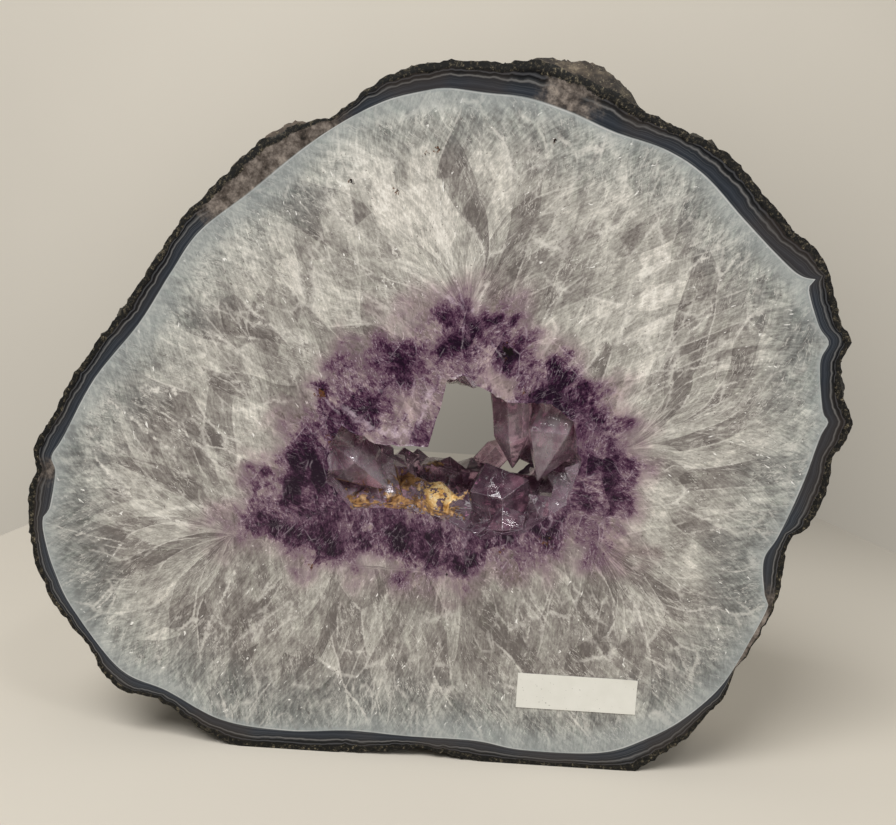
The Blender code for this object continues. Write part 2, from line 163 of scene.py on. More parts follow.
# Milkier and clearer places in the quartz, and in the last row broad lighter and darker regions: x, z,
# radius, and how much lighter or darker.
QUARTZ_SPOTS = (
    (-19, 129, 10, 0.8), (-8, 119, 9, 0.7), (-24, 117, 5, 0.6), (-3, 109, 4, 0.6), (-33, 96, 10, -0.5),
    (-23, 105, 6, -0.5), (4, 121, 4, -0.35), (19, 135, 3, -0.6), (34, 127, 3, -0.45), (20, 108, 6, -0.5),
    (-62, 72, 5, -0.5), (-55, 67, 4, -0.55), (-43, 75, 5, -0.35), (-65, 62, 4, -0.35), (-72, 69, 3, 0.5),
    (-65, 73, 2, 0.5), (-57, 53, 3, 0.8), (-46, 67, 4, 0.15), (-77, 55, 4, 0.3), (-36, 35, 9, -0.3),
    (-24, 28, 3, -0.6), (-18, 36, 4, -0.2), (-3, 28, 6, 0.45), (12, 28, 4, -0.25), (29, 34, 7, -0.1),
    (37, 28, 4, -0.45), (32, 39, 4, -0.25), (47, 35, 4, 0.35), (45, 51, 4, -0.7), (55, 102, 6, 0.2),
    (44, 107, 4, 0.6), (44, 86, 6, 0.35), (58, 98, 4, -0.3), (67, 83, 7, -0.25), (59, 64, 5, -0.35),
    (74, 69, 6, 0.15), (58, 48, 4, 0.7), (70, 42, 5, 0.15), (59, 32, 5, 0.2), (63, 106, 4, 0.25),
    (30, 115, 4, 0.2), (47, 98, 4, 0.4), (-47, 112, 6, 0.35), (-54, 94, 4, -0.35), (-63, 79, 3, 0.7),
    (-48, 84, 4, -0.3), (-36, 83, 3, -0.3), (23, 119, 5, 0.15), (10, 133, 4, 0.2), (-34, 113, 5, -0.1),
    # The broad regions: the lighter upper left and the darker lower left are painted light and shade.
    (-50, 108, 14, 0.3), (52, 42, 12, 0.35), (-72, 44, 14, -0.35), (66, 60, 11, -0.2), (-36, 30, 12, -0.15),
)
# Below this height the quartz is painted a little darker, by this much for each millimetre: painted shade
# towards the bottom.
SHADE_PAINTED_BELOW, SHADE_PAINTED_BY = 72.0, 0.006
# Where the rim is brown-grey stone instead of dark agate: angle, half-width, how much.
EARTHY = ((127.0, 27.0, 1.0), (-31.0, 13.0, 0.9), (-169.0, 5.0, 0.5), (72.0, 13.0, 0.5))

# Veils, the white sheets where crystals met or cracks healed: half-width, brightness, then the line.
VEILS = (
    (0.3, 0.7, (-11, 135.5), (-6.5, 128.5), (-2, 121), (3.5, 117)),
    (0.35, 0.9, (-4.5, 130.5), (-3, 119), (-0.5, 111.5), (2, 106), (4, 101.5)),
    (0.4, 0.8, (-28, 129), (-27, 123.5), (-24, 119.5), (-19, 118)),
    (0.3, 0.6, (-31.5, 129), (-26, 121.5), (-22, 116), (-18, 111.5), (-14.5, 107.5)),
    (0.5, 1.0, (-16, 119), (-11, 111.5), (-7, 109), (-3, 106.5), (2, 103.5), (4, 101)),
    (0.3, 0.7, (3.5, 142.5), (4.5, 137), (4.5, 134)),
    (0.4, 0.7, (8.5, 144.5), (9.5, 137.5), (12, 132), (12, 125)),
    (0.3, 0.6, (15.5, 140), (13.5, 133.5), (12, 129)),
    (0.3, 0.5, (21.5, 136.5), (20.5, 132), (18.5, 129)),
    (0.35, 0.6, (35, 131.5), (31.5, 127), (28.5, 122), (26, 116.5)),
    (0.6, 0.8, (41, 128.5), (37, 124.5), (33.5, 121.5), (29, 121.5)),
    (0.5, 1.0, (4.5, 101.5), (7, 106.5), (8.5, 109.5)),
    (0.2, 0.6, (18.5, 113.5), (12.5, 105.5)),
    (0.25, 0.5, (10, 108), (20, 99.5), (34.5, 88)),
    (0.4, 0.8, (20, 99.5), (22.5, 105.5), (26, 110)),
    (0.6, 1.0, (37, 96.5), (39, 102.5), (39.5, 108), (41.5, 112.5), (48.5, 117)),
    (0.5, 0.9, (42, 105), (47.5, 108.5), (50, 112.5), (54.5, 117), (60, 121.5)),
    (0.4, 0.8, (52.5, 100), (57.5, 105.5), (57.5, 110)),
    (0.35, 0.7, (57.5, 95.5), (63, 100.5), (67.5, 106.5), (71, 110.5)),
    (0.4, 0.7, (45, 89), (50.5, 92), (59.5, 94.5), (65.5, 96.5)),
    (0.3, 0.6, (69, 95.5), (74.5, 99.5), (78.5, 106)),
    (0.3, 0.7, (59.5, 88.5), (64, 90.5), (69.5, 92)),
    (0.25, 1.0, (53, 80), (57.5, 82.5), (64.5, 85), (68.5, 87.5), (73.5, 90)),
    (0.5, 0.5, (40, 78), (51.5, 79), (65, 80.5), (71.5, 83)),
    (0.25, 0.6, (43.5, 69), (49, 69), (52, 71), (58.5, 71)),
    (0.4, 0.7, (51.5, 66.5), (54.5, 62), (59.5, 59.5), (64, 59)),
    (0.3, 0.6, (53.5, 55.5), (62.5, 57), (69, 58.5)),
    (0.25, 0.6, (41.5, 62.5), (43, 57.5), (47.5, 52.5), (50, 46)),
    (0.2, 0.5, (39, 50), (42, 47), (48.5, 45)),
    (0.4, 0.6, (39.5, 45.5), (45, 41.5), (47.5, 35.5), (49.5, 30.5)),
    (0.3, 0.7, (41, 40.5), (41.5, 34), (40.5, 31), (42, 27.5), (47, 23.5)),
    (0.45, 0.9, (-77.5, 80.5), (-75, 77.5), (-70.5, 74), (-66, 71.5), (-61, 67), (-57.5, 63)),
    (0.5, 1.0, (-80, 67), (-75.5, 62.5), (-71, 57.5), (-66.5, 54), (-61.5, 52), (-55.5, 50.5), (-52, 48.5)),
    (0.5, 0.9, (-62, 53), (-55.5, 55), (-52.5, 55), (-49.5, 51)),
    (0.8, 1.0, (-69, 80.5), (-62.5, 80.5), (-56, 81)),
    (0.35, 0.8, (-71.5, 77.5), (-65, 76.5), (-60, 74), (-57, 71), (-52, 67), (-49, 64), (-44.5, 62),
     (-41, 58.5)),
    (0.7, 0.7, (-55.5, 88.5), (-51, 86), (-47, 83.5), (-41, 80.5)),
    (0.4, 0.7, (-56.5, 95.5), (-49.5, 92.5), (-45, 89), (-41, 85.5)),
    (0.6, 1.0, (-45.5, 97), (-40, 96.5), (-31.5, 93), (-26.5, 89)),
    (0.5, 0.6, (-49.5, 76.5), (-44.5, 77.5), (-38.5, 79.5), (-33, 80)),
    (0.25, 0.8, (-92, 50), (-86.5, 48.5), (-80.5, 47), (-74, 46), (-67.5, 45)),
    (0.4, 0.7, (-74.5, 27), (-69, 29.5), (-61.5, 32)),
    (0.35, 0.8, (-50.5, 27.5), (-46.5, 36), (-44.5, 41.5), (-44, 44.5)),
    (0.3, 1.0, (-40.5, 24), (-39.5, 27), (-38, 29)),
    (0.3, 0.7, (-20.5, 25), (-21, 31.5), (-20.5, 36)),
    (0.4, 0.8, (-20.5, 25), (-17.5, 23.5), (-13.5, 24.5)),
    (0.3, 0.6, (22, 43.5), (22.5, 36.5), (22.5, 26.5), (20.5, 22)),
    (0.3, 0.6, (44.5, 42), (48, 34), (52, 24), (55, 18)),
    (0.2, 0.5, (-83.5, 84.5), (-78, 81)),
    (0.2, 0.4, (-90, 72), (-83, 69.5)),
    (0.2, 0.5, (39, 148), (38.3, 141.5)),
    (1.0, 0.9, (-24, 80.5), (-19, 76.5), (-13, 74.5), (-5, 75)),
    (0.3, 0.8, (-6.8, 87.5), (-7.2, 80), (-10, 76)),
    (0.9, 0.8, (-2.4, 86), (-4, 80), (-5.5, 75)),
    (0.25, 0.6, (3.4, 101), (3.2, 96), (3.4, 91.5)),
    (0.3, 0.7, (-30, 84), (-25, 79.5), (-22.5, 77)),
    (0.3, 0.6, (12, 86), (12.5, 92), (9, 97)),
)
# Veils are sorted into lanes, so that they never mix, and each is felt this far from its line.
VEIL_LANES = 4
VEIL_REACH = 2.4
VEIL_APART = 2 * VEIL_REACH

# How far a patch's outline strays, and how fine its bays are.
STRAY, STRAY_FINENESS = 5.0, 0.16
# The even purple and its deeper places: how strong, and over which depths inside its edge they set in.
EVEN_PURPLE, DEEP_PURPLE = (0.46, -6, 6), (0.72, -7, 2)


def smooth_loop(points, count):
    """A closed curve through the points, read at count places an equal length apart."""
    p = np.array(points, float)
    before, after, beyond = np.roll(p, 1, 0), np.roll(p, -1, 0), np.roll(p, -2, 0)
    fine = []
    for t in np.linspace(0, 1, 16, endpoint=False):
        fine.append(0.5 * (2 * p + (after - before) * t
                           + (2 * before - 5 * p + 4 * after - beyond) * t ** 2
                           + (3 * p - before - 3 * after + beyond) * t ** 3))
    curve = np.stack(fine, 1).reshape(-1, 2)
    curve = np.vstack((curve, curve[:1]))
    along = np.concatenate(((0.0,), np.cumsum(np.hypot(*np.diff(curve, axis=0).T))))
    places = np.linspace(0, along[-1], count, endpoint=False)
    return np.stack((np.interp(places, along, curve[:, 0]), np.interp(places, along, curve[:, 1])), 1)


def outward(loop):
    """Unit normals of a clockwise loop, pointing away from what it encloses."""
    tangent = np.roll(loop, -1, 0) - np.roll(loop, 1, 0)
    normal = np.stack((-tangent[:, 1], tangent[:, 0]), 1)
    return normal / np.linalg.norm(normal, axis=1)[:, None]


def swell(angle, centre, half_width):
    """1 at an angle round the rim, falling to 0 at half_width degrees from it."""
    away = abs((angle - centre + 180) % 360 - 180) / half_width
    return math.cos(away * math.pi / 2) ** 2 if away < 1 else 0.0


def rind_offset(x, z, v, angle):
    """How far the rind stands outside the sawn edge's line at depth v, 0 front to 1 back."""
    place = Vector((x, v * THICKNESS, z))
    bulge = RIND_BULGE * math.sin(math.pi * min(v * 1.3, 1.0))
    lumpy = RIND_LUMPS[0] * noise.fractal(place * RIND_LUMPS[1], 1.0, 2.0, 3)
    ledge = RIND_LEDGES[0] * (0.35 - abs(noise.noise(place * RIND_LEDGES[1] + Vector((2, 9, 4)))) * 2)
    grain = RIND_GRAIN[0] * noise.fractal(place * RIND_GRAIN[1] + Vector((7, 3, 5)), 0.7, 2.1, 3)
    fine = FINE_GRAIN[0] * noise.fractal(place * FINE_GRAIN[1], 0.8, 2.2, 4)
    behind_cut = min(v / FULL_RELIEF, 1.0)
    offset = (bulge + lumpy + ledge) * behind_cut + (grain + fine) * (0.4 + 0.6 * behind_cut)
    for centre, half_width, drawn_back, stands_out in LUMPS:
        near = swell(angle, centre, half_width)
        offset += near * (stands_out * behind_cut - drawn_back * (1 - min(v / EDGE_ROW, 1.0)))
    return offset


def rim_row(v):
    """The rind's outline at depth v, inside the solid's box and cut flat where the slice stands."""
    row = []
    for (x, z), (nx, nz) in zip(rim_line, rim_normal):
        angle = math.degrees(math.atan2(z - RIM_CENTRE[1], x - RIM_CENTRE[0]))
        off = rind_offset(x, z, v, angle)
        row.append((x + nx * off + RIM_SHIFT, FRONT + v * THICKNESS, z + nz * off))
    return np.clip(row, slab_low, slab_high)


def line_at_angles(loop, like):
    """The loop's points at the same angles about its centre as the points of another loop."""
    centre = loop.mean(0)
    away, wanted = loop - centre, like - centre
    turn = np.arctan2(away[:, 1], away[:, 0])
    order = np.argsort(turn)
    angles = np.arctan2(wanted[:, 1], wanted[:, 0])
    reach = np.interp(angles, turn[order], np.hypot(*away.T)[order], period=2 * math.pi)
    return centre + np.stack((np.cos(angles), np.sin(angles)), 1) * reach[:, None]


def hollow_row(v, inset):
    """The corners of the hollow's wall at depth v, moved in by inset."""
    corners = (1 - v) * np.array(HOLLOW_FRONT, float) + v * np.array(HOLLOW_BACK, float)
    halfway = (corners + np.roll(corners, -1, 0)) / 2
    for spot in halfway:
        jag = noise.noise_vector(Vector((spot[0], v * 9, spot[1])) * HOLLOW_JAGS[1]) * HOLLOW_JAGS[0]
        spot += (jag.x, jag.z)
    loop = np.stack((corners, halfway), 1).reshape(-1, 2)
    ahead = np.roll(loop, -1, 0) - loop
    ahead /= np.linalg.norm(ahead, axis=1)[:, None]
    behind = np.roll(ahead, 1, 0)
    side_a = np.stack((-behind[:, 1], behind[:, 0]), 1)
    side_b = np.stack((-ahead[:, 1], ahead[:, 0]), 1)
    mitre = side_a + side_b
    mitre /= (mitre * side_b).sum(1)[:, None]
    return loop - mitre * inset + (RIM_SHIFT, 0)


def split_edges(loop, pieces):
    """Each straight side of a loop cut into pieces equal parts."""
    parts = [loop + (np.roll(loop, -1, 0) - loop) * i / pieces for i in range(pieces)]
    return np.stack(parts, 1).reshape(-1, 2)


def wall_row(v):
    """The hollow's wall at depth v, drawn in to a broken lip near both faces."""
    lip = math.sqrt(max(0.0, 1 - min(v, 1 - v) / LIP_DEPTH))
    row = split_edges(hollow_row(v, BORE_TIGHTER + LIP * lip), BORE_SPLITS)
    jags = [LIP_JAGS[0] * lip * noise.noise(Vector((x, v * 3, z)) * LIP_JAGS[1]) for x, z in row]
    return row - outward(row) * np.array(jags)[:, None]


def within(points, loop):
    """Which points lie inside a closed loop."""
    inside = np.zeros(len(points), bool)
    for (ax, az), (bx, bz) in zip(loop, np.roll(loop, -1, 0)):
        crosses = (az > points[:, 1]) != (bz > points[:, 1])
        if az != bz:
            inside ^= crosses & (points[:, 0] < (bx - ax) * (points[:, 1] - az) / (bz - az) + ax)
    return inside


def near_line(points, line):
    """Points' signed distance from a broken line, and how far along it they lie, 0 to 1."""
    nearest = np.full(len(points), np.inf)
    side, along = np.zeros(len(points)), np.zeros(len(points))
    steps = np.hypot(*np.diff(line, axis=0).T)
    start = np.concatenate(((0.0,), np.cumsum(steps)))
    for a, b, length, before in zip(line, line[1:], steps, start):
        run = (b - a) / length
        t = np.clip((points - a) @ run, 0, length)
        off = points - a - t[:, None] * run
        distance = np.hypot(*off.T)
        closer = distance < nearest
        nearest[closer] = distance[closer]
        side[closer] = np.where(run[0] * off[:, 1] > run[1] * off[:, 0], 1, -1)[closer]
        along[closer] = ((before + t) / start[-1])[closer]
    return nearest * side, along


def closed(loop):
    return np.vstack((loop, loop[:1]))


def ramp_up(value, low, high):
    share = np.clip((value - low) / (high - low), 0, 1)
    return share * share * (3 - 2 * share)


def fibre_place(points):
    """Places in the fan of fibres: how far round it and how far out from the heart."""
    run = np.roll(HEART, -1, 0) - HEART
    length = np.hypot(*run.T)
    start = np.concatenate(((0.0,), np.cumsum(length)))
    nearest = np.full(len(points), np.inf)
    place, direction = np.zeros(len(points)), np.zeros(len(points))
    for k in range(len(HEART)):
        t = np.clip((points - HEART[k]) @ run[k] / length[k], 0, length[k])
        off = points - HEART[k] - np.outer(t / length[k], run[k])
        distance = np.hypot(*off.T)
        closer = distance < nearest - 1e-6
        nearest[closer] = distance[closer]
        place[closer] = (start[k] + t)[closer]
        direction[closer] = np.arctan2(off[:, 1], off[:, 0])[closer]
    place[(place == 0) & (direction < 0)] = start[-1]
    around = start[-1] + 2 * math.pi * FAN
    return (place - FAN * direction) / around * 2 * math.pi, nearest, around / (2 * math.pi)


def fibre_vector(points, lean):
    """The fan as a tube, so that a pattern stretched along it meets itself without a seam."""
    turn, out, radius = fibre_place(points)
    turn = turn + lean * out / radius
    return np.stack((radius * np.cos(turn), radius * np.sin(turn), out), 1)


def spots_at(points, spots):
    total = np.zeros(len(points))
    for x, z, radius, strength in spots:
        total += strength * np.exp(-((points - (x, z)) ** 2).sum(1) / radius ** 2)
    return total


def stray(points):
    """Points moved about a little, so that round patches get ragged outlines."""
    wide = [noise.noise_vector(Vector((x, 3, z)) * STRAY_FINENESS) for x, z in points]
    fine = [noise.noise_vector(Vector((x, 8, z)) * STRAY_FINENESS * 2.6) for x, z in points]
    return points + STRAY * np.array([(a.x + b.x * 0.5, a.z + b.z * 0.5) for a, b in zip(wide, fine)])


def veil_lanes():
    """Sorts the veils into lanes in which no two lie close together, so that they never mix."""
    lanes = [[] for _ in range(VEIL_LANES)]
    for half_width, strength, *line in VEILS:
        line = np.array(line, float)
        apart = [min([np.abs(near_line(other, line)[0]).min() for _, _, other in lane] or [np.inf])
                 for lane in lanes]
        roomy = [i for i, gap in enumerate(apart) if gap > VEIL_APART]
        lanes[roomy[0] if roomy else int(np.argmax(apart))].append((half_width, strength, line))
    return lanes


def paint_markings(mesh, points, band, inward):
    """Stores on the mesh's points where they lie among the stone's natural markings, and the painted light
    and shade laid over the quartz.
    """
    def store(name, values):
        kind = "FLOAT" if values.ndim == 1 else "FLOAT_VECTOR"
        field = "value" if values.ndim == 1 else "vector"
        mesh.attributes.new(name, kind, "POINT").data.foreach_set(field, values.astype(np.float32).ravel())

    store("band", band)
    store("inward", inward)
    store("fibre", fibre_vector(points, 0.0))
    store("fibre_right", fibre_vector(points, LEAN))
    store("fibre_left", fibre_vector(points, -LEAN))
    edge = closed(smooth_loop(AMETHYST_EDGE, 240))
    strayed = stray(points)
    depth = np.abs(near_line(strayed, edge)[0]) * np.where(within(strayed, edge), 1, -1)
    purples = EVEN_PURPLE, DEEP_PURPLE
    even, deep = (strength * ramp_up(depth, low, high) for strength, low, high in purples)
    store("amethyst", even + deep * spots_at(strayed, AMETHYST_SPOTS))
    store("violet_zone", ramp_up(depth, -8, 3))
    store("inclusion", spots_at(points, INCLUSIONS))
    # Painted shade: the quartz darker towards the bottom, stored with the milk.
    painted_shade = SHADE_PAINTED_BY * np.minimum(0, points[:, 1] - SHADE_PAINTED_BELOW)
    store("milk_and_painted_light", spots_at(strayed, QUARTZ_SPOTS) + painted_shade)
    angles = np.degrees(np.arctan2(points[:, 1] - RIM_CENTRE[1], points[:, 0] - RIM_CENTRE[0] - RIM_SHIFT))
    store("earthy", np.array([min(1, sum(s * swell(a, c, w) for c, w, s in EARTHY)) for a in angles]))
    for n, lane in enumerate(veil_lanes()):
        across, near = np.full(len(points), 9.0), np.zeros(len(points))
        for half_width, strength, line in lane:
            distance, along = near_line(points, line)
            taper = ramp_up(np.minimum(along, 1 - along), 0, 0.2)
            mine = strength * taper * (1 - ramp_up(np.abs(distance), 0.4 * VEIL_REACH, VEIL_REACH))
            stronger = mine > near
            across[stronger] = (distance / half_width)[stronger]
            near[stronger] = mine[stronger]
        store(f"veil_{n}", across)
        store(f"veil_near_{n}", near)


class StoneMesh:
    """Collects points and faces, with each point's place among the markings."""

    def __init__(self):
        self.points, self.band, self.inward = [], [], []
        self.faces, self.finish = [], []

    def add_points(self, points, band, inward=0.0):
        first = len(self.points)
        self.points.extend(map(tuple, points))
        count = len(self.points) - first
        self.band.extend(np.broadcast_to(band, count))
        self.inward.extend(np.broadcast_to(inward, count))
        return np.arange(first, first + count)

    def add_faces(self, faces, finish):
        self.faces.extend(faces)
        self.finish.extend([finish] * len(faces))

    def join(self, near, far, finish):
        """Quads between two rings of points, facing away from a clockwise loop, front to back."""
        following, far_following = np.roll(near, -1), np.roll(far, -1)
        self.add_faces(np.stack((near, far, far_following, following), 1).tolist(), finish)


def flat(points, y):
    """Points on one sawn face or row, from x and z."""
    return np.stack((points[:, 0], np.full(len(points), y), points[:, 1]), 1)


def add_polished_face(stone, rim_ring, v, spacing, rows, seed):
    """Front or back: rows of points across the agate, then an even net of points over the quartz."""
    y = FRONT + v * THICKNESS
    rim_points = np.array([stone.points[i] for i in rim_ring])[:, [0, 2]]
    white = line_at_angles(white_line, rim_points)
    rings = [rim_ring]
    for row in range(1, rows + 1):
        share = row / rows
        rings.append(stone.add_points(flat(rim_points + (white - rim_points) * share, y), share))
    for outer, inner in zip(rings, rings[1:]):
        if v < 0.5:
            stone.join(inner, outer, POLISHED)
        else:
            stone.join(outer, inner, POLISHED)
    wall = wall_row(v)
    draw = np.random.default_rng(seed)
    low, high = white.min(0), white.max(0)
    across, up = np.meshgrid(np.arange(low[0], high[0], spacing),
                             np.arange(low[1], high[1], spacing * math.sqrt(3) / 2))
    net = np.stack((across + (np.arange(len(up)) % 2)[:, None] * spacing / 2, up), -1).reshape(-1, 2)
    net += draw.uniform(-NET_JITTER, NET_JITTER, net.shape) * spacing
    net = net[within(net, white) & ~within(net, wall)]
    clear = np.minimum(np.abs(near_line(net, closed(white))[0]), np.abs(near_line(net, closed(wall))[0]))
    net = net[clear > spacing * NET_CLEARANCE]
    everything = np.vstack((white, wall, net))
    counts = len(white), len(wall)
    borders = [(i, (i + 1) % counts[0]) for i in range(counts[0])]
    borders += [(counts[0] + i, counts[0] + (i + 1) % counts[1]) for i in range(counts[1])]
    made = geometry.delaunay_2d_cdt([Vector(p) for p in everything], borders, [], 0, 1e-5)
    original = [sources[0] for sources in made[3]]
    triangles = np.array([[original[i] for i in face] for face in made[2]])
    middle = everything[triangles].mean(1)
    triangles = triangles[within(middle, white) & ~within(middle, wall)]
    depth = np.abs(near_line(everything, closed(white))[0])
    wall_ring = stone.add_points(flat(wall, y), 1.0, depth[counts[0]:sum(counts)])
    net_ring = stone.add_points(flat(net, y), 1.0, depth[sum(counts):])
    index = np.concatenate((rings[-1], wall_ring, net_ring))
    turned = triangles if v < 0.5 else triangles[:, ::-1]
    stone.add_faces(index[turned].tolist(), POLISHED)
    return wall_ring


def new_object(name, data):
    thing = bpy.data.objects.new(name, data)
    bpy.context.scene.collection.objects.link(thing)
    return thing


POLISHED, RIND, BORE = 0, 1, 2
rim_line = smooth_loop(RIM, RIM_STEPS)
rim_normal = outward(rim_line)
white_line = smooth_loop(WHITE_LINE, RIM_STEPS * 2)
BORE_SPLITS = max(1, round(np.hypot(*np.diff(hollow_row(0.0, 0.0), axis=0).T).mean() / BORE_SPACING))

stone = StoneMesh()
rind_rings = [stone.add_points(rim_row(row / RIND_ROWS), 0.0) for row in range(RIND_ROWS + 1)]
for near_ring, far_ring in zip(rind_rings, rind_rings[1:]):
    stone.join(near_ring, far_ring, RIND)
front_wall = add_polished_face(stone, rind_rings[0], 0.0, FRONT_SPACING, RIM_BAND_ROWS, 1)
back_wall = add_polished_face(stone, rind_rings[-1], 1.0, BACK_SPACING, RIM_BAND_ROWS, 2)
bore_rings = [front_wall]
for depth_share in BORE_DEPTHS:
    ring = wall_row(depth_share)
    bore_rings.append(stone.add_points(flat(ring, FRONT + depth_share * THICKNESS), 1.0, 50.0))
bore_rings.append(back_wall)
for near_ring, far_ring in zip(bore_rings, bore_rings[1:]):
    stone.join(far_ring, near_ring, BORE)

slab_mesh = bpy.data.meshes.new("polished_slice")
slab_mesh.from_pydata([tuple(c * MM for c in p) for p in stone.points], [], stone.faces)
slab_mesh.polygons.foreach_set("material_index", stone.finish)
face_points = np.array(stone.points)[:, [0, 2]]
paint_markings(slab_mesh, face_points, np.array(stone.band), np.array(stone.inward))
slab_mesh.shade_smooth()
slab_mesh.set_sharp_from_angle(angle=math.radians(50))
slice_piece = new_object("polished_slice", slab_mesh)


def srgb(red, green, blue):
    """A colour given as it is seen, 0 to 255, in the linear values that a shader takes."""
    seen = (channel / 255 for channel in (red, green, blue))
    return (*(c / 12.92 if c <= 0.04045 else ((c + 0.055) / 1.055) ** 2.4 for c in seen), 1.0)


class Finish:
    """A material made node by node: each method adds a node and gives its output."""

    def __init__(self, name):
        self.material = bpy.data.materials.new(name)
        self.material.use_nodes = True
        self.tree = self.material.node_tree
        self.shader = self.tree.nodes["Principled BSDF"]
        self.place = self.add("ShaderNodeTexCoord", {}, "Object")

    def set(self, socket, value):
        if isinstance(value, bpy.types.NodeSocket):
            self.tree.links.new(value, socket)
        else:
            socket.default_value = value

    def add(self, kind, inputs, output=0, **settings):
        node = self.tree.nodes.new(kind)
        for name, value in settings.items():
            setattr(node, name, value)
        for name, value in inputs.items():
            self.set(node.inputs[name], value)
        return node.outputs[output]

    def surface(self, name, value):
        """Gives the finish's shader a value or a pattern."""
        self.set(self.shader.inputs[name], value)

    def bump(self, strength, distance, height):
        bumps = self.add("ShaderNodeBump", {"Strength": strength, "Distance": distance, "Height": height})
        self.surface("Normal", bumps)

    def mark(self, name, output="Fac"):
        return self.add("ShaderNodeAttribute", {}, output, attribute_name=name)

    def math(self, operation, a, b=0.0):
        return self.add("ShaderNodeMath", {0: a, 1: b}, operation=operation)

    def plus(self, a, *others):
        for b in others:
            a = self.math("ADD", a, b)
        return a

    def minus(self, a, b):
        return self.math("SUBTRACT", a, b)

    def times(self, a, *others):
        for b in others:
            a = self.math("MULTIPLY", a, b)
        return a

    def larger(self, a, b):
        return self.math("MAXIMUM", a, b)

    def size_of(self, value):
        return self.math("ABSOLUTE", value)

    def centred(self, value, amount):
        """How far value is from a half, times amount."""
        return self.times(self.minus(value, 0.5), amount)

    def swung(self, value, *parts):
        """A value moved up and down by patterns, each with its weight."""
        for pattern, weight in parts:
            value = self.plus(value, self.centred(pattern, weight))
        return value

    def away_from(self, place):
        return self.add("ShaderNodeVectorMath", {0: self.place, 1: place}, 1, operation="DISTANCE")

    def stretch(self, place, scale, shift=(0, 0, 0)):
        return self.add("ShaderNodeMapping", {"Vector": place, "Scale": scale, "Location": shift})

    def drawn_out(self, place, size, stretched, seed):
        """Places for crystals that grew long along the fibres."""
        return self.stretch(place, (size, size, size / stretched), (seed, 0, 0))

    def noise(self, place, scale, detail=3.0, roughness=0.55, distortion=0.0):
        return self.add("ShaderNodeTexNoise", {"Vector": place, "Scale": scale, "Detail": detail,
                                               "Roughness": roughness, "Distortion": distortion})

    def cells(self, place, scale, output="Distance", feature="F1"):
        return self.add("ShaderNodeTexVoronoi", {"Vector": place, "Scale": scale}, output, feature=feature)

    def patches(self, place, scale=1.0):
        """A chance value for each cell, the same all over it."""
        return self.add("ShaderNodeSeparateColor", {"Color": self.cells(place, scale, "Color")}, "Red")

    def fit(self, value, low, high, to_low=0.0, to_high=1.0):
        """Stretches value's range low to high, smoothly and held at its ends."""
        return self.add("ShaderNodeMapRange", {"Value": value, "From Min": low, "From Max": high,
                                               "To Min": to_low, "To Max": to_high},
                        interpolation_type="SMOOTHSTEP")

    def mix(self, share, a, b, blend="MIX"):
        return self.add("ShaderNodeMix", {0: share, 6: a, 7: b}, 2, data_type="RGBA", blend_type=blend)

    def bend(self, place, amount, scale):
        """Moves places about by a soft noise, so that a pattern loses its straight lines."""
        source = {"Vector": self.place, "Scale": scale, "Detail": 2.0}
        wander = self.add("ShaderNodeTexNoise", source, "Color")
        offset = self.add("ShaderNodeVectorMath", {0: wander, 1: (0.5, 0.5, 0.5)}, operation="SUBTRACT")
        moved = self.add("ShaderNodeVectorMath", {0: offset, "Scale": amount}, operation="SCALE")
        return self.add("ShaderNodeVectorMath", {0: place, 1: moved}, operation="ADD")

    def ramp(self, value, stops):
        """Colours along a value: each stop is a place and a colour as it is seen."""
        node = self.tree.nodes.new("ShaderNodeValToRGB")
        while len(node.color_ramp.elements) < len(stops):
            node.color_ramp.elements.new(0.5)
        for element, (position, *seen) in zip(node.color_ramp.elements, stops):
            element.position, element.color = position, srgb(*seen)
        self.set(node.inputs["Fac"], value)
        return node.outputs["Color"]


def agate_colours(f):
    """The rim on the sawn faces: black crust, thin pale bands in dark agate, and earthy places."""
    sway = f.centred(f.noise(f.place, 95.0, 2.0), 0.42)
    ripple = f.centred(f.noise(f.place, 420.0, 2.0), 0.10)
    inner = f.mark("band")
    middle = f.fit(f.size_of(f.minus(inner, 0.5)), 0.1, 0.5, 1.0, 0.0)
    wavy = f.plus(inner, f.times(f.plus(sway, ripple), middle))
    bands = f.ramp(wavy, (
        (0.00, 10, 9, 8), (0.22, 11, 11, 11), (0.28, 8, 8, 9),
        (0.33, 68, 68, 70), (0.37, 12, 13, 15), (0.46, 12, 13, 14),
        (0.51, 112, 110, 108), (0.56, 34, 36, 40), (0.68, 38, 42, 48),
        (0.78, 50, 54, 61), (0.92, 26, 31, 38), (1.00, 46, 54, 63),
    ))
    across = f.times(wavy, 15.0)
    stripes = f.add("ShaderNodeTexNoise", {"W": across, "Scale": 1.0, "Detail": 2.0}, noise_dimensions="1D")
    patchy = f.fit(f.noise(f.place, 55.0, 3.0), 0.38, 0.62, 0.15, 0.75)
    striped = f.times(f.fit(stripes, 0.48, 0.66), f.fit(inner, 0.30, 0.42))
    bands = f.mix(f.times(striped, patchy), bands, srgb(84, 86, 89))
    warmth = f.fit(f.noise(f.place, 45.0, 2.0), 0.45, 0.62)
    bands = f.mix(f.times(warmth, 0.38), bands, srgb(62, 54, 49))
    earth_noise = f.noise(f.place, 420.0, 5.0, 0.68)
    earth = f.ramp(earth_noise, (
        (0.32, 38, 34, 31), (0.45, 78, 70, 64), (0.56, 112, 103, 96), (0.72, 156, 145, 134),
    ))
    earthy = f.plus(f.mark("earthy"), f.times(earth_noise, 0.4))
    bands = f.mix(f.fit(earthy, 0.45, 0.75), bands, earth)
    crust = f.ramp(f.noise(f.place, 1500.0, 4.0, 0.8), (
        (0.40, 6, 6, 5), (0.52, 18, 17, 14), (0.60, 66, 60, 48), (0.70, 136, 126, 104),
    ))
    ragged = f.plus(inner, f.times(f.noise(f.place, 240.0, 4.0, 0.7), -0.45))
    return f.mix(f.fit(ragged, 0.02, 0.08), crust, bands)


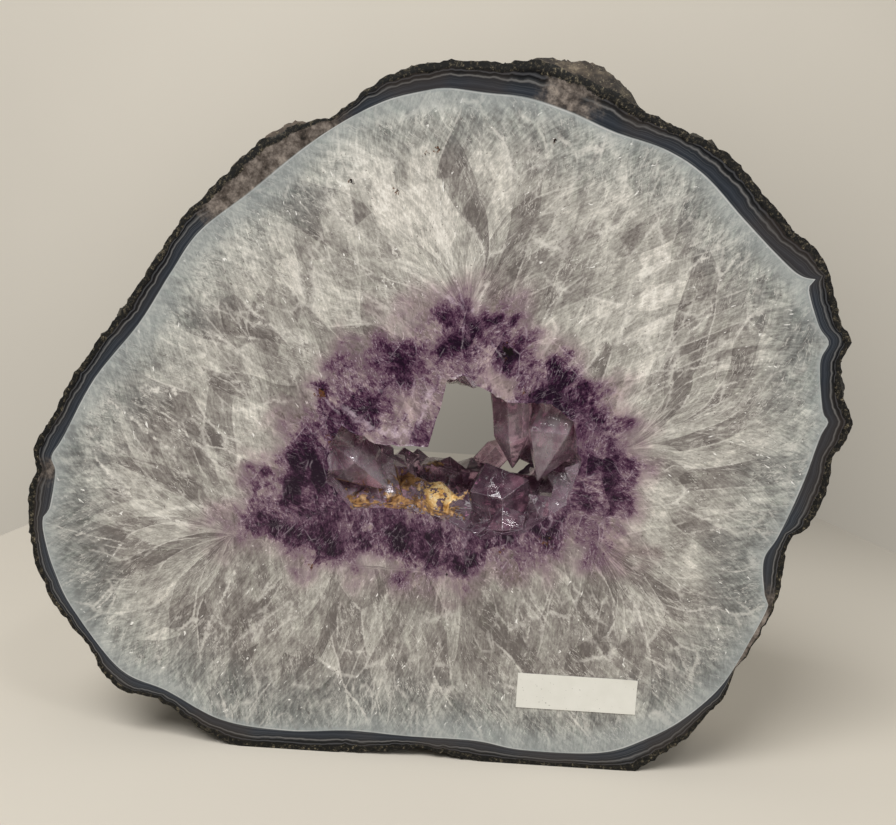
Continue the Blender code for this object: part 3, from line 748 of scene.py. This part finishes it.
def vein_net(f, place, size, stretched, width, seed, cover):
    """Pale branching lines where neighbouring crystals meet, broken up along their length."""
    run = f.drawn_out(place, size, stretched, seed)
    edge = f.cells(run, 1.0, "Distance", "DISTANCE_TO_EDGE")
    grain = f.noise(f.place, 1300.0, 2.0)
    line = f.fit(f.swung(edge, (grain, width * 2.5)), 0.0, width, 1.0, 0.0)
    shown = f.noise(f.stretch(f.place, (1, 1, 1), (seed, seed, 0)), 85.0, 3.0, 0.6)
    return f.times(line, f.fit(shown, cover, cover + 0.09))


def quartz_colours(f):
    """Milky quartz: patches of clear and cloudy crystal, fine grain, pale veins between them, painted
    glints, and painted light and shade over broad regions.
    """
    fibre = f.bend(f.mark("fibre", "Vector"), 9.0, 26.0)
    right = f.bend(f.mark("fibre_right", "Vector"), 7.0, 42.0)
    left = f.bend(f.mark("fibre_left", "Vector"), 7.0, 34.0)
    inward = f.mark("inward")

    threads = f.noise(f.stretch(fibre, (0.75, 0.75, 0.17)), 1.0, 5.0, 0.66)
    slanted = f.noise(f.stretch(right, (0.62, 0.62, 0.15)), 1.0, 5.0, 0.66)
    counter = f.noise(f.stretch(left, (0.62, 0.62, 0.15), (31, 7, 3)), 1.0, 5.0, 0.66)
    clouds = f.noise(f.place, 130.0, 4.0, 0.6, 0.6)
    grain = f.noise(f.place, 720.0, 4.0, 0.72)
    speckle = f.noise(f.place, 2100.0, 3.0, 0.75)
    flecks = f.noise(f.stretch(right, (1.15, 1.15, 0.32)), 1.0, 3.0, 0.6)
    strokes = f.noise(f.stretch(left, (2.1, 2.1, 0.5), (5, 11, 2)), 1.0, 3.0, 0.65)

    # The milk mark also carries painted light and shade: darker towards the bottom, lighter at the upper
    # left.
    tone = f.larger(0.0, f.swung(
        f.plus(f.times(f.mark("milk_and_painted_light"), 0.34), 0.40),
        (f.patches(f.drawn_out(right, 0.13, 3.4, 0)), 0.42),
        (f.patches(f.drawn_out(left, 0.21, 3.0, 9)), 0.32),
        (clouds, 0.58), (threads, 0.42), (slanted, 0.52), (counter, 0.50), (grain, 0.52),
        (speckle, 0.42), (flecks, 0.45), (strokes, 0.80),
    ))
    quartz = f.ramp(tone, (
        (0.00, 95, 90, 85), (0.25, 125, 120, 114), (0.45, 150, 147, 139),
        (0.65, 176, 173, 164), (0.85, 208, 203, 193), (1.00, 230, 226, 217),
    ))

    # Towards the rim the quartz turns blue-grey, with short dark flecks across the fibres.
    fleck_tone = f.plus(f.times(flecks, 0.55), f.times(strokes, 0.45))
    fleck_tone = f.swung(fleck_tone, (speckle, 0.18), (clouds, 0.50))
    rim_tone = f.ramp(fleck_tone, (
        (0.36, 88, 96, 94), (0.45, 124, 133, 130), (0.53, 155, 162, 157), (0.66, 200, 204, 197),
    ))
    reach = f.plus(inward, f.times(clouds, 14.0))
    quartz = f.mix(f.fit(reach, 8.0, 26.0, 0.52, 0.0), quartz, rim_tone)

    bright = srgb(224, 220, 211)
    for place, size, stretched, width, seed, cover, strength in (
            (right, 0.13, 3.4, 0.040, 0.0, 0.51, 0.50), (left, 0.21, 3.0, 0.055, 9.0, 0.53, 0.38),
            (fibre, 0.34, 4.0, 0.08, 8.0, 0.52, 0.34)):
        veins = vein_net(f, place, size, stretched, width, seed, cover)
        quartz = f.mix(f.times(veins, strength), quartz, bright)

    veils = 0.0
    for n in range(VEIL_LANES):
        wobble = f.centred(f.noise(f.place, 420.0 + 60 * n, 4.0, 0.65), 6.0)
        across = f.size_of(f.plus(f.mark(f"veil_{n}"), wobble))
        near = f.mark(f"veil_near_{n}")
        worn = f.times(near, f.fit(grain, 0.38, 0.62, 0.10, 0.85))
        thread = f.times(f.fit(across, 0.2, 1.15, 1.0, 0.0), worn)
        cloud = f.times(near, near, f.fit(slanted, 0.42, 0.68, 0.0, 0.42))
        quartz = f.mix(f.larger(thread, cloud), quartz, bright)
        veils = f.larger(veils, thread)

    ridge = f.size_of(f.centred(f.noise(f.stretch(right, (0.8, 0.8, 0.2)), 1.0, 3.0, 0.6), 1.0))
    shown = f.fit(f.noise(f.place, 210.0, 2.0), 0.42, 0.60)
    hairs = f.times(f.fit(ridge, 0.0, 0.021, 1.0, 0.0), shown)
    quartz = f.mix(f.times(hairs, 0.52), quartz, bright)
    # Painted glints: tiny bright specks where cracks inside the quartz would catch the light.
    painted_glints = f.fit(f.noise(f.stretch(left, (1.2, 1.2, 0.55)), 1.0, 2.0, 0.5, 0.6), 0.70, 0.74)
    quartz = f.mix(f.times(painted_glints, 0.8), quartz, srgb(246, 244, 238))
    quartz = f.mix(f.fit(f.noise(f.place, 1500.0, 1.0), 0.735, 0.76, 0.0, 0.6), quartz, srgb(70, 60, 56))

    # A smooth band of chalcedony lies next to the white line, here thin, there a wide haze.
    chalcedony = f.mix(f.noise(f.place, 160.0, 2.0), srgb(134, 142, 143), srgb(162, 167, 164))
    wandering = f.plus(inward, f.times(flecks, -2.0))
    hazy = f.swung(wandering, (f.noise(f.place, 32.0, 2.0), -12.0))
    share = f.larger(f.fit(wandering, -1.2, 0.6, 0.85, 0.0), f.fit(hazy, -1.5, 4.5, 0.55, 0.0))
    quartz = f.mix(share, quartz, chalcedony)
    return quartz, left, threads, slanted, grain, speckle, strokes, veils, hairs


def amethyst_colours(f, quartz, left, threads, slanted, grain, speckle, strokes, veils, hairs):
    """Purple over the quartz: misty, mottled and deepest in blotches, with pale flecks and dark specks."""
    amount = f.mark("amethyst")
    present = f.fit(amount, 0.0, 0.40)
    domains = f.bend(f.stretch(f.place, (1, 1, 0.7)), 0.0010, 240.0)
    facets = f.patches(domains, 230.0)
    seams = f.fit(f.cells(domains, 230.0, "Distance", "DISTANCE_TO_EDGE"), 0.0, 0.035, 1.0, 0.0)
    seams = f.times(seams, f.fit(f.noise(f.place, 170.0, 3.0, 0.6), 0.50, 0.64, 0.0, 0.26))
    swing = f.swung(
        0.0, (threads, 0.8), (f.noise(f.place, 250.0, 2.0, 0.5), 0.9), (grain, 1.1),
        (f.noise(f.place, 120.0, 2.0), 0.7), (speckle, 0.8), (strokes, 0.8), (facets, 0.34),
    )
    mist = f.times(f.fit(slanted, 0.54, 0.72), 0.22)
    veiled = f.minus(f.plus(amount, f.times(swing, present)), mist)
    colour = f.ramp(veiled, (
        (0.00, 152, 133, 142), (0.18, 128, 107, 119), (0.36, 106, 82, 97),
        (0.55, 82, 54, 74), (0.78, 48, 20, 44), (1.00, 24, 4, 25),
    ))
    tinted = f.mix(f.mark("violet_zone"), quartz, srgb(222, 202, 209), "MULTIPLY")
    stone_colour = f.mix(f.fit(veiled, -0.10, 0.56), tinted, colour)
    pale = f.fit(f.noise(f.stretch(left, (2.6, 2.6, 1.1), (3, 1, 2)), 1.0, 3.0, 0.7), 0.57, 0.66)
    lit = f.times(f.fit(veiled, 0.35, 0.80, 0.45, 0.05), present)
    stone_colour = f.mix(f.times(pale, lit), stone_colour, srgb(200, 184, 194))
    lines = f.larger(f.larger(f.times(veils, 0.65), f.times(hairs, 0.26)), seams)
    stone_colour = f.mix(f.times(lines, present), stone_colour, srgb(206, 188, 200))
    lying = f.mark("inclusion")
    spoilt = f.swung(lying, (f.noise(f.place, 900.0, 4.0, 0.75), 2.6))
    rusty = f.mix(f.fit(f.noise(f.place, 700.0, 2.0), 0.45, 0.6), srgb(16, 9, 10), srgb(92, 58, 34))
    specks = f.times(f.fit(spoilt, 0.75, 1.0), f.fit(lying, 0.02, 0.2))
    return f.mix(specks, stone_colour, rusty)


QUARTZ_IOR = 1.54
# How matt the sawn face is at its black crust and over the polished stone, and how strongly it shines.
CRUST_MATT, POLISHED_MATT = 0.6, 0.16
FACE_SHINE = 0.2


def polished_finish():
    """The sawn and polished faces, from the agate rim to the purple round the hollow."""
    f = Finish("polished_geode")
    inside = amethyst_colours(f, *quartz_colours(f))
    band = f.mark("band")
    colour = f.mix(f.fit(band, 0.93, 0.99), agate_colours(f), inside)
    white = f.times(f.fit(band, 0.955, 0.985), f.fit(f.mark("inward"), 0.0, 0.12, 1.0, 0.0))
    broken = f.fit(f.noise(f.place, 130.0, 3.0), 0.36, 0.60, 0.20, 0.65)
    colour = f.mix(f.times(white, broken), colour, srgb(194, 193, 191))
    f.surface("Base Color", colour)
    f.surface("Roughness", f.fit(band, 0.1, 0.35, CRUST_MATT, POLISHED_MATT))
    f.surface("IOR", QUARTZ_IOR)
    f.surface("Specular IOR Level", FACE_SHINE)
    return f.material


def rind_finish():
    """The rough outside: near-black basalt crust with brown and tan grains."""
    f = Finish("rough_rind")
    coarse = f.noise(f.place, 240.0, 6.0, 0.68)
    colour = f.ramp(coarse, (
        (0.34, 12, 11, 9), (0.48, 28, 26, 21), (0.58, 58, 53, 42), (0.70, 108, 99, 80),
    ))
    earth = f.ramp(coarse, (
        (0.32, 44, 37, 31), (0.48, 82, 70, 60), (0.60, 112, 97, 83), (0.72, 146, 130, 114),
    ))
    colour = f.mix(f.times(f.mark("earthy"), 0.8), colour, earth)
    flecks = f.fit(f.noise(f.place, 1500.0, 3.0, 0.8), 0.58, 0.66)
    colour = f.mix(f.times(flecks, 0.60), colour, srgb(146, 136, 112))
    f.surface("Base Color", colour)
    f.surface("Roughness", 0.85)
    f.bump(0.6, 0.0004, f.noise(f.place, 1100.0, 5.0, 0.7))
    return f.material


def bore_finish():
    """The amethyst that the crystals of the hollow grow from, seen through them."""
    f = Finish("amethyst_ground")
    colour = f.ramp(f.noise(f.place, 160.0, 5.0, 0.65), (
        (0.30, 44, 28, 48), (0.46, 88, 68, 88), (0.60, 136, 118, 132), (0.75, 186, 174, 180),
    ))
    f.surface("Base Color", colour)
    f.surface("Roughness", 0.35)
    return f.material


for finish in (polished_finish(), rind_finish(), bore_finish()):
    slab_mesh.materials.append(finish)
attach(slice_piece, "root")
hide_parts("geode_slab")


# The crystals of the hollow
# Amethyst points grown together round the hollow, clear enough to see into, and darker on the floor right
# of the middle. Their faces are flat and their corners a little worn. Sawn flush with the slab at front and
# back.

CORNER_WEAR = 0.10
SAWN_SHORT = 0.06
SHARP_CORNER, SAME_FACE = math.radians(20), math.radians(1)
SAME_POINT, SLIVER = 0.001, 0.15
ABSORBED = (0.72, 0.44, 0.62, 1.0)
ABSORPTION = 80.0
# Where the floor's crystals right of the middle turn darker: its middle and how far it fades, in metres as
# the material reads them.
DARKER_FLOOR_PLACE, DARKER_FLOOR_REACH = (0.014, -0.006, 0.055), (0.010, 0.022)
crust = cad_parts["crystal_crust"]
crust_low, crust_high = (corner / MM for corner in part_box("crystal_crust"))


def crust_copy():
    """A merged copy of the solid's own crystals, in millimetres."""
    bm = bmesh.new()
    bm.from_mesh(crust.data)
    bmesh.ops.scale(bm, vec=(1 / MM, 1 / MM, 1 / MM), verts=bm.verts[:])
    bmesh.ops.remove_doubles(bm, verts=bm.verts[:], dist=SAME_POINT)
    return bm


def as_piece(name, bm):
    """Makes an object of a shape that was worked in millimetres."""
    bmesh.ops.scale(bm, vec=(MM, MM, MM), verts=bm.verts[:])
    mesh = bpy.data.meshes.new(name)
    bm.to_mesh(mesh)
    bm.free()
    return new_object(name, mesh)


def make_crystals():
    """The solid's own crystals with the sharp corners taken off."""
    bm = crust_copy()
    bmesh.ops.dissolve_limit(bm, angle_limit=SAME_FACE, verts=bm.verts[:], edges=bm.edges[:])
    bmesh.ops.dissolve_degenerate(bm, dist=SLIVER, edges=bm.edges[:])
    corners = [edge for edge in bm.edges if edge.calc_face_angle(0.0) > SHARP_CORNER]
    bmesh.ops.bevel(bm, geom=corners, offset=CORNER_WEAR, segments=1, profile=0.5, affect="EDGES",
                    material=1)
    worn = bm.faces.layers.float.new("worn")
    for face in bm.faces:
        face[worn] = face.material_index
        face.material_index = 0
    margin = Vector((0, SAWN_SHORT, 0))
    for vert in bm.verts:
        vert.co = [min(max(c, low), high)
                   for c, low, high in zip(vert.co, crust_low + margin, crust_high - margin)]
    bmesh.ops.triangulate(bm, faces=bm.faces[:])
    return as_piece("crystal_points", bm)


def crystal_finish():
    """Clear amethyst with clouds, white healed cracks inside, and rubbed corners made lighter, partly as a
    painted highlight along the edges.
    """
    f = Finish("clear_amethyst")
    cloudy = f.fit(f.noise(f.place, 260.0, 5.0, 0.7), 0.40, 0.62)
    worn = f.mark("worn")
    pale = f.mix(cloudy, srgb(214, 178, 198), srgb(254, 238, 246))
    darker_floor = f.mix(cloudy, srgb(132, 98, 118), srgb(186, 158, 172))
    colour = f.mix(f.fit(f.away_from(DARKER_FLOOR_PLACE), *DARKER_FLOOR_REACH), darker_floor, pale)
    purple = f.fit(f.noise(f.stretch(f.place, (1, 1, 0.5), (2, 5, 1)), 330.0, 4.0, 0.65), 0.50, 0.66)
    colour = f.mix(f.times(purple, 0.55), colour, srgb(104, 66, 96))
    sheet = f.size_of(f.minus(f.noise(f.place, 150.0, 4.0, 0.6, 0.8), 0.5))
    shown = f.fit(f.noise(f.place, 340.0, 2.0), 0.44, 0.60)
    sheet = f.times(f.fit(sheet, 0.0, 0.020, 1.0, 0.0), shown)
    colour = f.mix(f.times(sheet, 0.75), colour, srgb(252, 246, 250))
    # The worn corners are a little lighter: partly rubbed crystal, partly a painted highlight along the
    # edges.
    f.surface("Base Color", f.mix(f.times(worn, 0.3), colour, srgb(250, 244, 250)))
    f.surface("Transmission Weight", 0.78)
    f.surface("IOR", QUARTZ_IOR)
    smooth = f.fit(f.noise(f.place, 420.0, 3.0), 0.42, 0.66, 0.02, 0.14)
    f.surface("Roughness", f.plus(smooth, f.times(worn, 0.16), f.times(sheet, 0.35)))
    growth = f.plus(f.noise(f.stretch(f.place, (1, 1, 3.2)), 420.0, 2.0), f.cells(f.place, 330.0))
    f.bump(0.22, 0.0004, growth)
    tint = f.add("ShaderNodeVolumeAbsorption", {"Color": ABSORBED, "Density": ABSORPTION})
    f.set(f.tree.nodes["Material Output"].inputs["Volume"], tint)
    return f.material


crystal_piece = make_crystals()
crystal_piece.data.materials.append(crystal_finish())
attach(crystal_piece, "root")
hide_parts("crystal_crust")


# The iron stain on the hollow's floor
# A thin gold and rust-coloured film of iron oxide on some of the crystals' faces. It grew on them, so
# it follows their faces a hair outside, with a ragged edge.

# Where it lies: x, y, z and reach.
STAINS = (
    (0.8, -7.0, 59.0, 4.8), (-1.0, -4.0, 62.5, 2.6), (-7.5, -5.0, 62.5, 3.2), (-18.0, -12.5, 57.0, 3.2),
    (-8.0, -12.5, 57.0, 4.2), (-2.5, -12.0, 57.0, 4.4), (3.0, -11.5, 55.0, 2.6), (-12.5, -8.0, 60.5, 2.0),
    (-2.0, 6.0, 65.5, 2.0),
)
STAIN_DETAIL, STAIN_ROUNDS = 0.5, 6
STAIN_OVER, STAIN_FILM = 0.03, 0.10
# The brightest gold, in metres as the material reads them: its middle and how far it fades.
GOLD_PLACE, GOLD_REACH = (0.0008, -0.007, 0.059), (0.0030, 0.0065)


def stain_depth(place):
    """Above 0 where the film lies, with a ragged edge."""
    reach = max(1 - (place - Vector(stain[:3])).length / stain[3] for stain in STAINS)
    return reach + 1.1 * noise.fractal(place * 0.75, 0.8, 2.1, 4) - 0.14


def far_from_stains(face):
    middle, longest = face.calc_center_median(), max(edge.calc_length() for edge in face.edges)
    return all((middle - Vector(stain[:3])).length > stain[3] + longest for stain in STAINS)


def make_stain():
    """A thin skin over the crystals' faces, cut finer near the film's edge so that it can be ragged."""
    bm = crust_copy()
    bmesh.ops.delete(bm, geom=[face for face in bm.faces if far_from_stains(face)], context="FACES")
    for _ in range(STAIN_ROUNDS):
        long = [edge for edge in bm.edges if edge.calc_length() > STAIN_DETAIL
                and stain_depth((edge.verts[0].co + edge.verts[1].co) / 2) > -0.8]
        if long:
            bmesh.ops.subdivide_edges(bm, edges=long, cuts=1)
            bmesh.ops.triangulate(bm, faces=bm.faces[:])
    clear = [face for face in bm.faces if stain_depth(face.calc_center_median()) < 0
             or abs(face.normal.y) > 0.999]
    bmesh.ops.delete(bm, geom=clear, context="FACES")
    bm.normal_update()
    for vert in bm.verts:
        vert.co += vert.normal * STAIN_OVER
    bmesh.ops.solidify(bm, geom=bm.faces[:], thickness=-STAIN_FILM)
    bmesh.ops.recalc_face_normals(bm, faces=bm.faces[:])
    return as_piece("iron_stain", bm)


def stain_finish():
    f = Finish("iron_oxide_film")
    mottle = f.noise(f.place, 620.0, 5.0, 0.72)
    rust = f.ramp(mottle, (
        (0.36, 62, 42, 34), (0.46, 118, 84, 54), (0.56, 164, 124, 78), (0.68, 208, 170, 118),
    ))
    gold = f.ramp(mottle, (
        (0.34, 166, 112, 56), (0.44, 226, 180, 104), (0.54, 250, 216, 152), (0.66, 255, 244, 208),
    ))
    f.surface("Base Color", f.mix(f.fit(f.away_from(GOLD_PLACE), *GOLD_REACH), gold, rust))
    f.surface("Roughness", 0.42)
    f.bump(0.5, 0.0002, f.noise(f.place, 1600.0, 4.0, 0.7))
    return f.material


stain_piece = make_stain()
stain_piece.data.materials.append(stain_finish())
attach(stain_piece, "root")


# The paper label
# A white paper sticker pressed onto the polished front, a little dirty, with nothing printed on it.

LABEL_PAPER = 0.14
LABEL_NET = (68, 22)
LABEL_MARGIN, LABEL_GAP, LABEL_WAVES, LABEL_RAGGED = 0.1, 0.02, 0.02, 0.06
LIFTED, LIFTED_FROM, LIFTED_OVER = 0.22, 0.6, 0.15
label_width, label_height = label_high.x - label_low.x, label_high.z - label_low.z
label_middle = (label_low + label_high) / 2


def make_label():
    """A thin sheet just off the stone, a little wavy, with rubbed edges and its top right corner up."""
    bm = bmesh.new()
    bmesh.ops.create_grid(bm, x_segments=LABEL_NET[0], y_segments=LABEL_NET[1], size=0.5)
    for vert in bm.verts:
        x, z = vert.co.x, vert.co.y
        lift = LIFTED * max(0.0, x + z * 0.5 - LIFTED_FROM) / LIFTED_OVER
        lift += LABEL_WAVES * (noise.noise(Vector((x * 9, z * 4, 3))) + 1)
        place = Vector((x * (label_width - LABEL_MARGIN), 0, z * (label_height - LABEL_MARGIN)))
        if max(abs(x), abs(z)) > 0.499:
            place -= place.normalized() * abs(noise.noise(Vector((x * 60, z * 25, 1)))) * LABEL_RAGGED
        vert.co = (place.x + label_middle.x, FRONT - lift - LABEL_GAP, place.z + label_middle.z)
    corners = bmesh.ops.extrude_face_region(bm, geom=bm.faces[:])
    moved = [item for item in corners["geom"] if isinstance(item, bmesh.types.BMVert)]
    bmesh.ops.translate(bm, vec=(0, -LABEL_PAPER, 0), verts=moved)
    bmesh.ops.recalc_face_normals(bm, faces=bm.faces[:])
    piece = as_piece("blank_label", bm)
    piece.data.shade_smooth()
    piece.data.set_sharp_from_angle(angle=math.radians(40))
    return piece


def label_finish():
    f = Finish("worn_white_paper")
    paper = f.mix(f.noise(f.place, 260.0, 4.0, 0.6), srgb(209, 207, 197), srgb(223, 221, 213))
    specks = f.fit(f.noise(f.place, 1700.0, 2.0), 0.71, 0.75)
    paper = f.mix(f.times(specks, 0.6), paper, srgb(110, 104, 96))
    f.surface("Base Color", paper)
    f.surface("Roughness", 0.5)
    f.bump(0.25, 0.00005, f.noise(f.place, 5000.0, 3.0))
    return f.material


label_piece = make_label()
label_piece.data.materials.append(label_finish())
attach(label_piece, "root")
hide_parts("paper_label")


# The pale table and wall
# A plain table top whose far edge shows through the hollow, and a plain wall behind it, each with a painted
# soft shadow.

TABLE_LEFT, TABLE_RIGHT, TABLE_NEAR, TABLE_FAR = -190.0, 244.0, -520.0, 586.0
TABLE_THICKNESS = 18.0
WALL_Y, WALL_SIZE, WALL_THICKNESS = 900.0, 4200.0, 20.0
# Where each has a painted soft shadow, in metres: its middle, how far it reaches, and how dark it gets.
TABLE_SHADE = ((0.18, 0.52, 0.0), 0.60, 0.46)
WALL_SHADE = ((0.12, 0.9, -0.12), 0.75, 0.33)


def stage_box(name, low, high, finish):
    bm = bmesh.new()
    bmesh.ops.create_cube(bm, size=1.0)
    for vert in bm.verts:
        vert.co = [(a + b) / 2 + c * (b - a) for a, b, c in zip(low, high, vert.co)]
    piece = as_piece(name, bm)
    piece.data.materials.append(finish)


def stage_finish(name, colour, shade_middle, shade_reach, darkest):
    """Plain matt paint, a little darker round one place: a painted soft shadow."""
    f = Finish(name)
    paint = f.mix(f.noise(f.place, 6.0, 3.0), colour, tuple(c * 0.96 for c in colour))
    shade = f.fit(f.away_from(shade_middle), 0.0, shade_reach, 1.0, 0.0)
    f.surface("Base Color", f.mix(shade, paint, tuple(c * darkest for c in colour)))
    f.surface("Roughness", 0.7)
    return f.material


stage_box("table", (TABLE_LEFT, TABLE_NEAR, -TABLE_THICKNESS), (TABLE_RIGHT, TABLE_FAR, 0.0),
          stage_finish("pale_table", srgb(208, 201, 188), *TABLE_SHADE))
stage_box("wall", (-WALL_SIZE / 2, WALL_Y, -WALL_SIZE / 2),
          (WALL_SIZE / 2, WALL_Y + WALL_THICKNESS, WALL_SIZE / 2),
          stage_finish("pale_wall", srgb(236, 228, 213), *WALL_SHADE))


# The soft studio light
# A large soft light above, in front and to the left, a weaker one from the right, a small one that
# draws sparkles on the crystals, and a pale room all round. Places are in metres.

AIM = Vector((0.0, 0.0, 0.08))
ROOM_COLOUR, ROOM_STRENGTH = (1.0, 0.985, 0.96, 1.0), 0.30


def add_light(name, place, size, power):
    light = bpy.data.lights.new(name, "AREA")
    light.shape = "SQUARE"
    light.size, light.energy = size, power
    lamp = new_object(name, light)
    lamp.location = place
    lamp.rotation_euler = (AIM - Vector(place)).to_track_quat("-Z", "Y").to_euler()


add_light("key", (-0.45, -0.75, 1.15), 0.7, 17.5)
add_light("fill", (0.9, -0.7, 0.6), 0.8, 3.0)
add_light("sparkle", (0.25, -0.5, 0.75), 0.12, 0.8)
room = bpy.data.worlds.new("pale_room")
room.use_nodes = True
room.node_tree.nodes["Background"].inputs["Color"].default_value = ROOM_COLOUR
room.node_tree.nodes["Background"].inputs["Strength"].default_value = ROOM_STRENGTH
bpy.context.scene.world = room
bpy.context.scene.view_settings.view_transform = "Standard"


# The camera
# Level with the hollow, tipped down and rolled a little, because the slice leans in the picture.

# The lens is given by its length in pixels of the picture, which is 896 pixels wide.
CAMERA_PLACE = (0.001, -0.218, 0.094)
FOCAL_PIXELS, PICTURE_WIDTH, FILM_WIDTH = 900.0, 896.0, 36.0
PITCH, ROLL = math.radians(4.1), math.radians(3.7)

camera_data = bpy.data.cameras.new("camera")
camera_data.sensor_width = FILM_WIDTH
camera_data.lens = FILM_WIDTH * FOCAL_PIXELS / PICTURE_WIDTH
camera_data.clip_start = 0.01
camera = new_object("camera", camera_data)
forward = Vector((0, math.cos(PITCH), -math.sin(PITCH)))
level_up = Vector((0, math.sin(PITCH), math.cos(PITCH)))
level_right = Vector((1, 0, 0))
right_hand = level_right * math.cos(ROLL) + level_up * math.sin(ROLL)
upward = level_up * math.cos(ROLL) - level_right * math.sin(ROLL)
turned = Matrix((right_hand, upward, -forward)).transposed()
camera.matrix_world = Matrix.Translation(CAMERA_PLACE) @ turned.to_4x4()
bpy.context.scene.camera = camera
